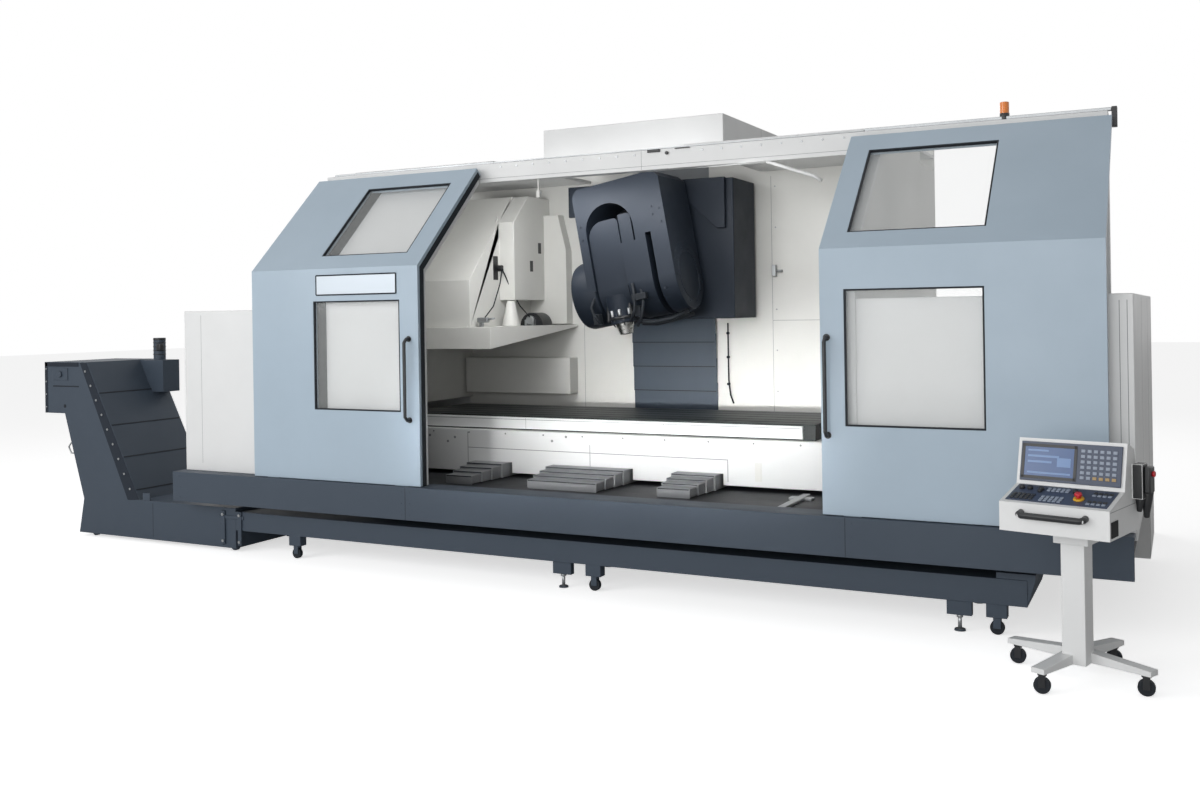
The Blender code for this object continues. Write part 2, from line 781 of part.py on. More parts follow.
def build_table():
    """The slotted table and the wall along its front. Returns both."""
    right = TABLE_LEFT_X + TABLE_LENGTH
    table = add_box(
        "table",
        (TABLE_LEFT_X, TABLE_FACE_Y, TABLE_FOOT_Z),
        (right, TABLE_REAR_Y, TABLE_TOP_Z),
        "table_iron",
    )
    first = (TABLE_FACE_Y + TABLE_REAR_Y - SLOT_PITCH * (SLOT_COUNT - 1)) / 2
    for index in range(SLOT_COUNT):
        y = first + index * SLOT_PITCH
        slot = add_box(
            f"slot_{index}",
            (TABLE_LEFT_X - SLOT_DEPTH, y - SLOT_WIDTH / 2, TABLE_TOP_Z - SLOT_DEPTH),
            (right + SLOT_DEPTH, y + SLOT_WIDTH / 2, TABLE_TOP_Z + SLOT_DEPTH),
        )
        cut(table, slot)
    apron = add_box(
        "table_apron",
        (TABLE_LEFT_X, TABLE_FACE_Y - SEAT - APRON_THICK, APRON_Z[0]),
        (right - APRON_SHORT, TABLE_FACE_Y - SEAT, APRON_Z[1]),
        "white_paint",
    )
    return table, apron


def build_feed_axes():
    """The saddle, table and way covers on their slides."""
    stages = build_way_covers()
    saddle = build_saddle(stages[-1])
    table = build_table()
    saddle_slide = add_axis("saddle_slide", (0, SADDLE_FACE_Y, SADDLE_FOOT_Z))
    carry(saddle_slide, *saddle)
    table_slide = add_axis("table_slide", (TABLE_LEFT_X + TABLE_LENGTH / 2, TABLE_FACE_Y, TABLE_TOP_Z))
    carry(table_slide, *table)
    carry(saddle_slide, table_slide)
    for stage in range(1, COVER_COUNT - 1):
        place = (0, COVER_FRONT_Y + stage * cover_pitch(), COVER_TOP_Z)
        carry(add_axis(f"way_cover_slide_{stage + 1}", place), *stages[stage])


def build_housings():
    """The side housings that the table runs into, open to the bay, and the rear cabinets."""
    ledge = SKIRT_Z[1] + SEAT
    floor = PAN_Z[1] + SEAT
    rear = BACK_WALL_Y + SHEET
    for side, low_x, high_x, hollow_x in (
        ("left", HOUSING_LEFT_X, BAY_LEFT_X, (HOUSING_LEFT_X + SHEET, BAY_LEFT_X + SHEET)),
        ("right", BAY_RIGHT_X, HOUSING_RIGHT_X, (BAY_RIGHT_X - SHEET, HOUSING_RIGHT_X - SHEET)),
    ):
        housing = add_box(
            side + "_housing", (low_x, PANEL_Y, floor), (high_x, rear, HOUSING_TOP_Z), "white_paint"
        )
        hollow = add_box(
            side + "_hollow",
            (hollow_x[0], PANEL_Y + SHEET, floor - SHEET),
            (hollow_x[1], rear - SHEET, HOUSING_TOP_Z - SHEET),
        )
        rebate = add_box(
            side + "_rebate",
            (low_x - SHEET, PANEL_Y - SHEET, floor - SHEET),
            (high_x + SHEET, SKIRT_REAR_Y + SEAT, ledge),
        )
        cut(housing, hollow, rebate)
        add_box(
            side + "_rear_cabinet",
            (low_x, rear + SEAT, 0.0),
            (high_x, MACHINE_REAR_Y, HOUSING_TOP_Z),
            "white_paint",
        )


def build_front_panels():
    """The fixed panels that stand behind the doors, bent like them, and the flat one in the left pocket."""
    ledge = SKIRT_Z[1] + SEAT
    near = PANEL_Y - DOOR_FACE_Y
    far = near + SHEET
    share = (HEADER_Y - SEAT - DOOR_FACE_Y - far * math.cos(slope_turn())) / DOOR_SETBACK
    section = bent_band(near, far, ledge, share)
    left_x = OPENING_LEFT_X - PANEL_SETBACK
    middle = left_x - LEFT_PANEL_WIDTH / 2
    left = add_profile("left_front_panel", section, LEFT_PANEL_WIDTH, (middle, 0, 0), ACROSS_X, "white_paint")
    pocket = add_box(
        "left_pocket_panel",
        (BAY_LEFT_X + SEAT, PANEL_Y + SHEET / 2, ledge),
        (left_x - LEFT_PANEL_WIDTH + SHEET, PANEL_Y + 3 * SHEET / 2, HOUSING_TOP_Z),
    )
    join(left, pocket)
    middle = BAY_RIGHT_X - SEAT - RIGHT_PANEL_WIDTH / 2
    add_profile("right_front_panel", section, RIGHT_PANEL_WIDTH, (middle, 0, 0), ACROSS_X, "white_paint")


def build_bay_walls():
    """The walls and ceiling round the work space, behind and beside the head."""
    left = BAY_LEFT_X + SEAT
    right = BAY_RIGHT_X - SEAT
    wall = add_box(
        "back_wall",
        (left, BACK_WALL_Y, PAN_Z[1] + SEAT),
        (right, BACK_WALL_Y + SHEET, ROOF_FOOT_Z - SEAT),
        "white_paint",
    )
    slot = add_box(
        "head_slot",
        (-CARRIAGE_SLIDE_X - CLEAR, BACK_WALL_Y - SHEET, WALL_SLOT_Z),
        (CARRIAGE_SLIDE_X + CLEAR, BACK_WALL_Y + 2 * SHEET, ROOF_FOOT_Z + SHEET),
    )
    cut(wall, slot)
    add_box(
        "wall_box",
        (WALL_BOX_X[0], BACK_WALL_Y - WALL_BOX_DEPTH, WALL_BOX_Z[0]),
        (WALL_BOX_X[1], BACK_WALL_Y - SEAT, WALL_BOX_Z[1]),
        "white_paint",
    )
    rear = BACK_WALL_Y - SEAT
    under = HEADER_Z[0] - SEAT
    for side, x, depth in (
        ("left", left + SHEET / 2, PANEL_Y - DOOR_FACE_Y + 3 * SHEET / 2 + SEAT),
        ("right", right - SHEET / 2, PANEL_Y - DOOR_FACE_Y + SHEET + SEAT),
    ):
        fold_y, fold_z = bent_band(0.0, depth, 0.0)[2]
        top_y = fold_y + (under - fold_z) * DOOR_SETBACK / (DOOR_TOP_Z - DOOR_FOLD_Z)
        section = [
            (fold_y, BAY_WALL_FOOT_Z),
            (rear, BAY_WALL_FOOT_Z),
            (rear, BAY_WALL_STEP[1]),
            (BAY_WALL_STEP[0], BAY_WALL_STEP[1]),
            (BAY_WALL_STEP[0], CEILING_Z - SEAT),
            (HEADER_Y + HEADER_DEPTH + SEAT, CEILING_Z - SEAT),
            (HEADER_Y + HEADER_DEPTH + SEAT, under),
            (top_y, under),
            (fold_y, fold_z),
        ]
        add_profile(side + "_bay_wall", section, SHEET, (x, 0, 0), ACROSS_X, "white_paint")
    for side, low_x, high_x in (
        ("left", left, -ROOF_HALF_WIDTH - SEAT),
        ("right", ROOF_HALF_WIDTH + SEAT, right),
    ):
        add_box(
            side + "_roof_panel",
            (low_x, HEADER_Y + HEADER_DEPTH / 2, CEILING_Z),
            (high_x, rear, CEILING_Z + CEILING_THICK),
            "white_paint",
        )


def build_header():
    """The beam over the opening that the doors hang from, its end posts and the lamp."""
    left = OPENING_LEFT_X - DOOR_WIDTH + HEADER_OVERHANG
    right = OPENING_RIGHT_X + DOOR_WIDTH - HEADER_OVERHANG
    rear = HEADER_Y + HEADER_DEPTH
    header = add_box("header_beam", (left, HEADER_Y, HEADER_Z[0]), (right, rear, HEADER_Z[1]), "white_paint")
    for index, x in enumerate((left, right - POST_SIZE)):
        post = add_box(
            f"header_post_{index}",
            (x, HEADER_Y, HOUSING_TOP_Z + SEAT),
            (x + POST_SIZE, rear, HEADER_Z[0] + SHEET),
        )
        join(header, post)
    lamp_y = HEADER_Y + HEADER_DEPTH / 2
    add_cylinder(
        "signal_lamp",
        LAMP_RADIUS,
        (LAMP_X, lamp_y, HEADER_Z[1] + SEAT),
        (LAMP_X, lamp_y, HEADER_Z[1] + LAMP_HEIGHT),
        "lamp_orange",
    )


def build_column():
    """The column behind the wall, and the roof box that stands on it, open below over the head."""
    add_box(
        "column",
        (-COLUMN_HALF_WIDTH, COLUMN_Y[0], BED_TOP_Z + SEAT),
        (COLUMN_HALF_WIDTH, COLUMN_Y[1], ROOF_TOP_Z - ROOF_WALL - SEAT),
        "grey_paint",
    )
    roof = add_box(
        "roof_box",
        (-ROOF_HALF_WIDTH, ROOF_Y[0], ROOF_FOOT_Z),
        (ROOF_HALF_WIDTH, ROOF_Y[1], ROOF_TOP_Z),
        "white_paint",
    )
    inside = add_box(
        "roof_inside",
        (ROOF_WALL - ROOF_HALF_WIDTH, ROOF_Y[0] + ROOF_WALL, ROOF_FOOT_Z - ROOF_WALL),
        (ROOF_HALF_WIDTH - ROOF_WALL, ROOF_Y[1] - ROOF_WALL, ROOF_TOP_Z - ROOF_WALL),
    )
    cut(roof, inside)


def build_slats():
    """The telescopic slats under the head carriage. Returns them lowest first."""
    slats = []
    pitch = (CARRIAGE_Z[0] - SLAT_FOOT_Z) / SLAT_COUNT
    for index in range(SLAT_COUNT):
        face = SLAT_FACE_Y - index * SLAT_STEP
        low = SLAT_FOOT_Z + index * pitch
        slat = add_box(
            f"head_slat_{index + 1}",
            (-SLAT_WIDTH / 2, face, low),
            (SLAT_WIDTH / 2, face + SLAT_THICK, low + SLAT_LENGTH),
            "dark_paint",
        )
        if index > 0:
            lip = add_box(
                f"slat_wiper_{index + 1}",
                (-SLAT_WIDTH / 2, face + SLAT_THICK / 2, low),
                (SLAT_WIDTH / 2, face + SLAT_STEP - RUN, low + WIPER_LENGTH),
            )
            join(slat, lip)
        slats.append(slat)
    for index in range(1, SLAT_COUNT - 1):
        place = (0, SLAT_FACE_Y, SLAT_FOOT_Z + index * pitch)
        carry(add_axis(f"head_slat_slide_{index + 1}", place), slats[index])
    return slats


def head_place(x, depth, z):
    """The world point at a place given across the yoke, from its front to the rear, and up from its swivel."""
    turned = Euler((0, -YOKE_TILT, 0)).to_matrix() @ Vector((x, 0, z))
    return Vector(YOKE_PIVOT) + Vector((turned.x, depth - YOKE_DEPTH, turned.z))


def head_slice(name, outline, front, rear, finish=None):
    """A slice of the head between two depths from the yoke's front, its outline given before the tilt."""
    turn = (Euler((0, -YOKE_TILT, 0)).to_matrix() @ Euler(ACROSS_Y).to_matrix()).to_euler()
    return add_profile(name, outline, rear - front, head_place(0, (front + rear) / 2, 0), turn, finish)


def head_roller(name, low_x, high_x, radius, finish=None, sides=48):
    """A round piece across the head on the spindle's tilting axis."""
    depth = YOKE_DEPTH / 2
    return add_cylinder(
        name, radius, head_place(low_x, depth, -FORK_DROP), head_place(high_x, depth, -FORK_DROP), finish, sides
    )


def build_yoke():
    """The yoke: a block with an arched recess, a round lobe at each side, and a groove in the right one."""
    left, right = YOKE_X
    outline = [
        (left, -FORK_DROP),
        (right, -FORK_DROP),
        (right, YOKE_TOP - YOKE_CHAMFER),
        (right - YOKE_CHAMFER, YOKE_TOP),
        (left + YOKE_CHAMFER, YOKE_TOP),
        (left, YOKE_TOP - YOKE_CHAMFER),
    ]
    rear = YOKE_DEPTH - CLEAR
    deep = -2 * FORK_DROP
    yoke = head_slice("head_yoke", outline, YOKE_FACE_DEPTH, rear, "dark_paint")
    arch_x = FORK_X[0] + RECESS_RADIUS
    arch = arc((arch_x, RECESS_TOP - RECESS_RADIUS), RECESS_RADIUS, 0, 180, 16)
    recess_outline = [
        (FORK_X[0], deep),
        (FORK_X[1], deep),
        (FORK_X[1], RECESS_STEP_Z),
        (arch_x + RECESS_RADIUS, RECESS_STEP_Z),
        *arch,
    ]
    recess = head_slice("yoke_recess", recess_outline, -YOKE_DEPTH, rear - WEB_THICK)
    passage = head_slice(
        "yoke_passage", rectangle((FORK_X[0], deep), (FORK_X[1], WEB_FOOT)), -YOKE_DEPTH, 2 * YOKE_DEPTH
    )
    ear_outline = [
        (FORK_X[1], RECESS_STEP_Z - SHEET),
        (EAR_X, RECESS_STEP_Z - SHEET),
        *arc((EAR_X - EAR_SETBACK, EAR_TOP - EAR_SETBACK), EAR_SETBACK, 0, 90, 4),
        (FORK_X[1], EAR_TOP),
    ]
    ear = head_slice("yoke_ear", ear_outline, EAR_SETBACK, rear - WEB_THICK / 2)
    cut(yoke, recess, passage)
    join(yoke, ear)
    for index, (low_x, high_x) in enumerate(
        ((LOBE_X[0], FORK_X[0] - LOBE_STEP), (FORK_X[1] + LOBE_STEP, LOBE_X[1]))
    ):
        lobe = head_roller(f"yoke_lobe_{index}", low_x, high_x, YOKE_DEPTH / 2)
        bevel = lobe.modifiers.new("Rounded_rim", "BEVEL")
        bevel.width = LOBE_BEVEL if index == 0 else LOBE_BEVEL / 3
        bevel.segments = 2
        bevel.limit_method = "ANGLE"
        bevel.angle_limit = math.radians(60)
        join(yoke, lobe)
    groove = head_slice(
        "yoke_groove", rectangle((GROOVE_X[0], deep), (GROOVE_X[1], GROOVE_TOP)), -YOKE_DEPTH, GROOVE_DEPTH
    )
    cut(yoke, groove)
    pivot = Vector(YOKE_PIVOT)
    bearing = add_cylinder(
        "yoke_bearing",
        BEARING_RADIUS,
        (pivot.x, pivot.y - 4 * CLEAR, pivot.z),
        (pivot.x, CARRIAGE_FACE_Y - RUN, pivot.z),
        sides=48,
    )
    join(yoke, bearing)
    return yoke


def build_spindle():
    """The spindle housing between the lobes, and the spindle under it. Returns both and the spindle's top."""
    left, right = FORK_X[0] + SPINDLE_GAP, FORK_X[1] - SPINDLE_GAP
    housing = head_roller("spindle_housing", left, right, SPINDLE_RADIUS, "grey_paint")
    front = YOKE_DEPTH / 2 - SPINDLE_RADIUS
    crown = (right - left) / 2
    outline = [
        (left, -FORK_DROP),
        (right, -FORK_DROP),
        *arc((right - SPINDLE_CORNER, SPINDLE_TOP - SPINDLE_CORNER), SPINDLE_CORNER, 0, 90, 4),
        *arc((left + crown, SPINDLE_TOP - crown), crown, 90, 180, 8),
    ]
    upper = head_slice("spindle_block", outline, front, front + SPINDLE_THICK)
    reach = SPINDLE_GAP - RUN
    trunnion = head_roller("spindle_trunnion", left - reach, right + reach, TRUNNION_RADIUS, sides=32)
    neck = add_cylinder(
        "spindle_neck",
        NECK_RADII[0],
        head_place(SPINDLE_AXIS_X, SPINDLE_AXIS_DEPTH, NECK_FOOT + NECK_HEIGHT),
        head_place(SPINDLE_AXIS_X, SPINDLE_AXIS_DEPTH, NECK_FOOT),
        end_radius=NECK_RADII[1],
    )
    join(housing, upper, neck, trunnion)
    start = head_place(SPINDLE_AXIS_X, SPINDLE_AXIS_DEPTH, NECK_FOOT - RUN)
    end = head_place(SPINDLE_AXIS_X, SPINDLE_AXIS_DEPTH, NECK_FOOT - RUN - NOSE_LENGTH)
    nose = add_cylinder("spindle_nose", NOSE_RADII[0], start, end, "bright_steel", 40, NOSE_RADII[1])
    return housing, nose, start


def build_head(top_slat):
    """The head carriage on its vertical slide, the yoke, the spindle housing and the spindle."""
    carriage = add_box(
        "head_carriage",
        (CARRIAGE_X[0], CARRIAGE_FACE_Y, CARRIAGE_Z[0]),
        (CARRIAGE_X[1], CARRIAGE_REAR_Y, CARRIAGE_Z[1]),
        "dark_paint",
    )
    slide = add_box(
        "carriage_slide",
        (-CARRIAGE_SLIDE_X, CARRIAGE_REAR_Y - SHEET, CARRIAGE_SLIDE_Z[0]),
        (CARRIAGE_SLIDE_X, COLUMN_Y[0] - RUN, CARRIAGE_SLIDE_Z[1]),
    )
    join(carriage, slide)
    hood = add_profile(
        "head_hood",
        [
            (HOOD_X[0], HOOD_LEFT_Z),
            (HOOD_NOTCH_X[0], HOOD_LEFT_Z),
            (HOOD_NOTCH_X[1], HOOD_NOTCH_Z),
            (HOOD_NOTCH_X[2], HOOD_Z[0]),
            (HOOD_X[1], HOOD_Z[0]),
            (HOOD_X[1], HOOD_Z[1]),
            (HOOD_X[0], HOOD_Z[1]),
        ],
        HOOD_THICK - SEAT,
        (0, CARRIAGE_FACE_Y - (HOOD_THICK + SEAT) / 2, 0),
        ACROSS_Y,
        "dark_paint",
    )
    yoke = build_yoke()
    housing, nose, spindle_top = build_spindle()
    middle = head_place(0, YOKE_DEPTH / 2, -FORK_DROP)
    head_slide = add_axis("head_slide", (0, CARRIAGE_REAR_Y, CARRIAGE_Z[0]))
    yoke_swivel = add_axis("yoke_swivel", YOKE_PIVOT, (0, -YOKE_TILT, 0))
    spindle_tilt = add_axis("spindle_tilt", middle, (0, -YOKE_TILT, 0))
    spindle_spin = add_axis("spindle_spin", spindle_top, (0, -YOKE_TILT, 0))
    carry(spindle_spin, nose)
    carry(spindle_tilt, housing, spindle_spin)
    carry(yoke_swivel, yoke, spindle_tilt)
    carry(head_slide, carriage, hood, top_slat, yoke_swivel)


def changer_box(name, left_x, right_x, front, foot, fold, top_y, finish=None):
    """One stepped box of the tool changer: upright front, sloping roof, flat back on the wall."""
    rear = BACK_WALL_Y - SEAT
    section = [(front, foot), (rear, foot), (rear, CHANGER_TOP_Z), (top_y, CHANGER_TOP_Z), (front, fold)]
    return add_profile(name, section, right_x - left_x, ((left_x + right_x) / 2, 0, 0), ACROSS_X, finish)


def build_tool_changer():
    """The tool changer's stepped housing on the back wall, its side plate, and the shelf under it."""
    left = BAY_LEFT_X + SHEET + 2 * SEAT
    rear = BACK_WALL_Y - SEAT
    changer = changer_box(
        "tool_changer",
        left,
        CHANGER_RIGHT_X,
        CHANGER_FRONT_Y,
        CHANGER_FOOT_Z + SEAT,
        CHANGER_FOLD_Z,
        CHANGER_TOP_Y,
        "white_paint",
    )
    inner = (left + CHANGER_RIGHT_X) / 2
    step = changer_box("changer_step", inner, STEP_RIGHT_X, STEP_FRONT_Y, STEP_FOOT_Z, STEP_FOLD_Z, STEP_TOP_Y)
    chamfer = PLATE_Z[2] - PLATE_Z[1]
    plate = add_profile(
        "changer_plate",
        [
            (inner, PLATE_Z[0]),
            (PLATE_RIGHT_X, PLATE_Z[0]),
            (PLATE_RIGHT_X, PLATE_Z[1]),
            (PLATE_RIGHT_X - PLATE_CHAMFER * chamfer, PLATE_Z[2]),
            (inner, PLATE_Z[2]),
        ],
        PLATE_DEPTH,
        (0, rear - PLATE_DEPTH / 2 - CLEAR, 0),
        ACROSS_Y,
    )
    backing = add_box(
        "changer_backing", (STEP_RIGHT_X - SHEET, rear - SHEET, PLATE_Z[0]), (PLATE_RIGHT_X, rear, PLATE_Z[1])
    )
    join(changer, step, plate, backing)
    right = SHELF_RIGHT_X[1]
    shelf = add_profile(
        "tool_shelf",
        [
            (SHELF_FRONT_Y, CHANGER_FOOT_Z - SHELF_THICK),
            (rear, CHANGER_FOOT_Z - SHELF_REAR_THICK),
            (rear, CHANGER_FOOT_Z),
            (SHELF_FRONT_Y, CHANGER_FOOT_Z),
        ],
        right - left,
        ((left + right) / 2, 0, 0),
        ACROSS_X,
        "white_paint",
    )
    lean = (right - SHELF_RIGHT_X[0]) / (rear - SHELF_FRONT_Y)
    front = SHELF_FRONT_Y - SHELF_THICK
    back = rear + SHELF_THICK
    corner = add_profile(
        "shelf_corner",
        [
            (SHELF_RIGHT_X[0] - lean * SHELF_THICK, front),
            (right + SHELF_THICK, front),
            (right + SHELF_THICK, back),
            (right + lean * SHELF_THICK, back),
        ],
        4 * SHELF_THICK,
        (0, 0, CHANGER_FOOT_Z),
        ACROSS_Z,
    )
    cut(shelf, corner)
    cover = add_cylinder(
        "gripper_cover",
        GRIPPER_RADIUS,
        (GRIPPER_X, GRIPPER_Y[0], CHANGER_FOOT_Z),
        (GRIPPER_X, GRIPPER_Y[1], CHANGER_FOOT_Z),
        "black_plastic",
        40,
    )
    below = add_box(
        "gripper_cut",
        (GRIPPER_X - 2 * GRIPPER_RADIUS, GRIPPER_Y[0] - GRIPPER_RADIUS, CHANGER_FOOT_Z - 2 * GRIPPER_RADIUS),
        (GRIPPER_X + 2 * GRIPPER_RADIUS, GRIPPER_Y[1] + GRIPPER_RADIUS, CHANGER_FOOT_Z + SEAT),
    )
    cut(cover, below)


def add_caster(target, name, x, y, top, radius):
    """A wheel on the floor with its fork, fused to what stands on it."""
    half = CASTER_WIDTH / 2
    wheel = add_cylinder(name + "_wheel", radius, (x, y - half, radius), (x, y + half, radius), sides=20)
    fork = add_box(name + "_fork", (x - half, y - half / 2, radius), (x + half, y + half / 2, top))
    join(target, wheel, fork)


def build_trough():
    """The flat trough under the machine, on levelling feet and casters."""
    trough = add_box(
        "coolant_trough",
        (TROUGH_LEFT_X, TROUGH_Y[0], TROUGH_Z[0]),
        (TROUGH_RIGHT_X, TROUGH_Y[1], TROUGH_Z[1]),
        "dark_paint",
    )
    end = add_profile(
        "trough_end",
        [
            (TROUGH_RIGHT_X - TROUGH_END[0], TROUGH_Z[0] + CLEAR),
            (TROUGH_RIGHT_X, TROUGH_Z[0] + CLEAR),
            (TROUGH_RIGHT_X + TROUGH_END[1], TROUGH_Z[1]),
            (TROUGH_RIGHT_X + TROUGH_END[1], TROUGH_END_Z),
            (TROUGH_RIGHT_X - TROUGH_END[0], TROUGH_END_Z),
        ],
        TROUGH_Y[1] - TROUGH_Y[0] - 2 * CLEAR,
        (0, (TROUGH_Y[0] + TROUGH_Y[1]) / 2, 0),
        ACROSS_Y,
    )
    join(trough, end)
    rows = (TROUGH_Y[0] + FOOT_INSET / 2, TROUGH_Y[1] - FOOT_INSET / 2)
    for i, x in enumerate(TROUGH_FOOT_XS):
        for j, y in enumerate(rows):
            disc = add_cylinder(
                f"foot_disc_{i}_{j}", 3 * FOOT_RADIUS, (x, y, 0), (x, y, FOOT_RADIUS), sides=20
            )
            stem_top = (x, y, TROUGH_Z[0] - BRACKET_SIZE[1] / 2)
            stem = add_cylinder(f"foot_stem_{i}_{j}", FOOT_RADIUS, (x, y, CLEAR), stem_top, sides=12)
            bracket = add_box(
                f"foot_bracket_{i}_{j}",
                (x - BRACKET_SIZE[0] / 2, y - FOOT_INSET / 3, TROUGH_Z[0] - BRACKET_SIZE[1]),
                (x + BRACKET_SIZE[0] / 2, y + FOOT_INSET / 3, TROUGH_Z[0] + CLEAR),
            )
            join(trough, disc, stem, bracket)
    for i, x in enumerate(TROUGH_CASTER_XS):
        for j, y in enumerate((TROUGH_Y[0] + FOOT_INSET / 2, TROUGH_Y[1] - FOOT_INSET / 2)):
            add_caster(trough, f"trough_caster_{i}_{j}", x, y, TROUGH_Z[0] + SHEET, CASTER_RADIUS)


def build_conveyor():
    """The chip conveyor's incline with its outlet head, drive and casters."""
    depth = TROUGH_Y[1] - TROUGH_Y[0]
    middle_y = (TROUGH_Y[0] + TROUGH_Y[1]) / 2
    right = TROUGH_LEFT_X - SEAT
    outline = [
        (CONVEYOR_LEFT_X, CONVEYOR_HEAD_Z),
        (CONVEYOR_LEFT_X, OUTLET_FOOT_Z),
        (CONVEYOR_LEFT_X + OUTLET_DEPTH, OUTLET_FOOT_Z),
        (INCLINE_HEEL_X, INCLINE_HEEL_Z),
        (INCLINE_HEEL_X - CONVEYOR_FLANGE, CONVEYOR_FOOT_Z),
        (right, CONVEYOR_FOOT_Z),
        (right, INCLINE_FOOT_Z),
        (INCLINE_FOOT_X, INCLINE_FOOT_Z),
        (INCLINE_TOP_X, CONVEYOR_HEAD_Z),
    ]
    incline = add_profile("conveyor_incline", outline, depth, (0, middle_y, 0), ACROSS_Y, "dark_paint")
    left = INCLINE_TOP_X
    rear = TROUGH_Y[1]
    foot = CONVEYOR_HEAD_Z - DRIVE_SIZE[2]
    drive = add_box(
        "conveyor_drive",
        (left, rear - DRIVE_SIZE[1], foot),
        (left + DRIVE_SIZE[0], rear - CLEAR, foot + DRIVE_SIZE[2] - CLEAR),
    )
    x = left + DRIVE_SIZE[0] / 2
    y = rear - DRIVE_SIZE[1] / 2
    motor = add_cylinder(
        "conveyor_motor",
        MOTOR_RADIUS,
        (x, y, CONVEYOR_HEAD_Z - SHEET),
        (x, y, CONVEYOR_HEAD_Z + MOTOR_HEIGHT),
        sides=24,
    )
    join(incline, drive, motor)
    for i, x in enumerate((INCLINE_HEEL_X + FOOT_INSET, right - FOOT_INSET)):
        for j, y in enumerate((TROUGH_Y[0] + FOOT_INSET, TROUGH_Y[1] - FOOT_INSET)):
            add_caster(incline, f"incline_caster_{i}_{j}", x, y, CONVEYOR_FOOT_Z + SHEET, CASTER_RADIUS)


def build_console():
    """The free-standing operator console on its cross base."""
    place = Vector((CONSOLE_X, CONSOLE_Y, 0))

    def stand(obj, turn=CONSOLE_TURN, back=0.0):
        """Turns an object, built as if the console faced -Y, to the console's own place."""
        spin = Matrix.Rotation(turn, 4, "Z")
        obj.rotation_euler = (spin @ obj.rotation_euler.to_matrix().to_4x4()).to_euler()
        obj.location = spin @ obj.location + place + Vector((0, back, 0))
        return obj

    half = COLUMN_SIZE / 2
    column = stand(
        add_box("console_stand", (-half, -half, BASE_Z[0]), (half, half, CONSOLE_FOOT_Z - SEAT), "white_paint")
    )
    side = COLLAR_SIZE / 2
    collar = add_box("console_collar", (-side, -side, COLLAR_Z), (side, side, CONSOLE_FOOT_Z - SEAT))
    join(column, stand(collar))
    tip = (BASE_Z[0] + BASE_Z[1]) / 2
    arm = [
        (-BASE_REACH, BASE_Z[0]),
        (BASE_REACH, BASE_Z[0]),
        (BASE_REACH, tip),
        (half, BASE_Z[1]),
        (-half, BASE_Z[1]),
        (-BASE_REACH, tip),
    ]
    for index, turn in enumerate((BASE_TURN, BASE_TURN + math.radians(90))):
        bar = add_profile(f"console_arm_{index}", arm, BASE_BAR, (0, 0, 0), ACROSS_Y)
        join(column, stand(bar, turn, BASE_BACK))
    wheel_out = BASE_REACH - BASE_CASTER_RADIUS
    for index in range(4):
        angle = BASE_TURN + math.radians(90 * index)
        x = CONSOLE_X + wheel_out * math.cos(angle)
        y = CONSOLE_Y + BASE_BACK + wheel_out * math.sin(angle)
        add_caster(column, f"console_caster_{index}", x, y, BASE_Z[0] + SHEET / 2, BASE_CASTER_RADIUS)
    front = CONSOLE_FRONT
    desk = front + DESK_DEPTH
    section = [
        (front, CONSOLE_FOOT_Z),
        (front + CONSOLE_DEPTH, CONSOLE_FOOT_Z),
        (desk + SCREEN_LEAN + SCREEN_HEAD_DEPTH, SCREEN_TOP_Z - SHEET),
        (desk + SCREEN_LEAN, SCREEN_TOP_Z),
        (desk, DESK_TOP_Z),
        (front, CONSOLE_LIP_Z),
    ]
    box = stand(add_profile("console_box", section, CONSOLE_WIDTH, (0, 0, 0), ACROSS_X, "white_paint"))
    lean = math.atan2(SCREEN_LEAN, SCREEN_TOP_Z - DESK_TOP_Z)
    tall = math.hypot(SCREEN_LEAN, SCREEN_TOP_Z - DESK_TOP_Z) / 2 - DISPLAY_MARGIN
    wide = CONSOLE_WIDTH / 2 - DISPLAY_MARGIN
    away = DISPLAY_THICK / 2 + SEAT
    screen = add_box(
        "console_screen",
        (-wide, -DISPLAY_THICK / 2, -tall),
        (wide, DISPLAY_THICK / 2, tall),
        "screen",
        (-lean, 0, 0),
    )
    screen.location = (
        0,
        desk + SCREEN_LEAN / 2 - away * math.cos(lean),
        (DESK_TOP_Z + SCREEN_TOP_Z) / 2 + away * math.sin(lean),
    )
    stand(screen)
    handle_z = CONSOLE_LIP_Z - 1.5 * SHEET
    bar = CONSOLE_HANDLE_HALF
    handle = add_tube(
        "console_handle",
        [
            (-bar, front + SHEET, handle_z),
            (-bar, front - CONSOLE_HANDLE_REACH, handle_z),
            (bar, front - CONSOLE_HANDLE_REACH, handle_z),
            (bar, front + SHEET, handle_z),
        ],
        CONSOLE_HANDLE_RADIUS,
    )
    side = CONSOLE_WIDTH / 2
    pendant = add_box(
        "console_pendant",
        (side - SHEET, front + CONSOLE_DEPTH - PENDANT_SIZE[1] - SHEET, PENDANT_FOOT_Z),
        (side + PENDANT_SIZE[0], front + CONSOLE_DEPTH - SHEET, PENDANT_FOOT_Z + PENDANT_SIZE[2]),
    )
    join(box, stand(handle), stand(pendant))


def main():
    """Builds the machine, piece by piece."""
    build_skirt()
    build_pan()
    build_bed()
    build_feed_axes()
    build_doors()
    build_housings()
    build_front_panels()
    build_bay_walls()
    build_header()
    build_column()
    slats = build_slats()
    build_head(slats[-1])
    build_tool_changer()
    build_trough()
    build_conveyor()
    build_console()


main()
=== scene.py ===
"""Studio scene of a five-axis machining center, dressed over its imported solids.

Metres, +Z up, +X to the operator's right. The camera comes first, then the
finishes, then one class for each sub-assembly of the machine.
"""

import logging
import math
from dataclasses import dataclass, field
from enum import Enum

import bmesh
import bpy
from mathutils import Matrix, Vector


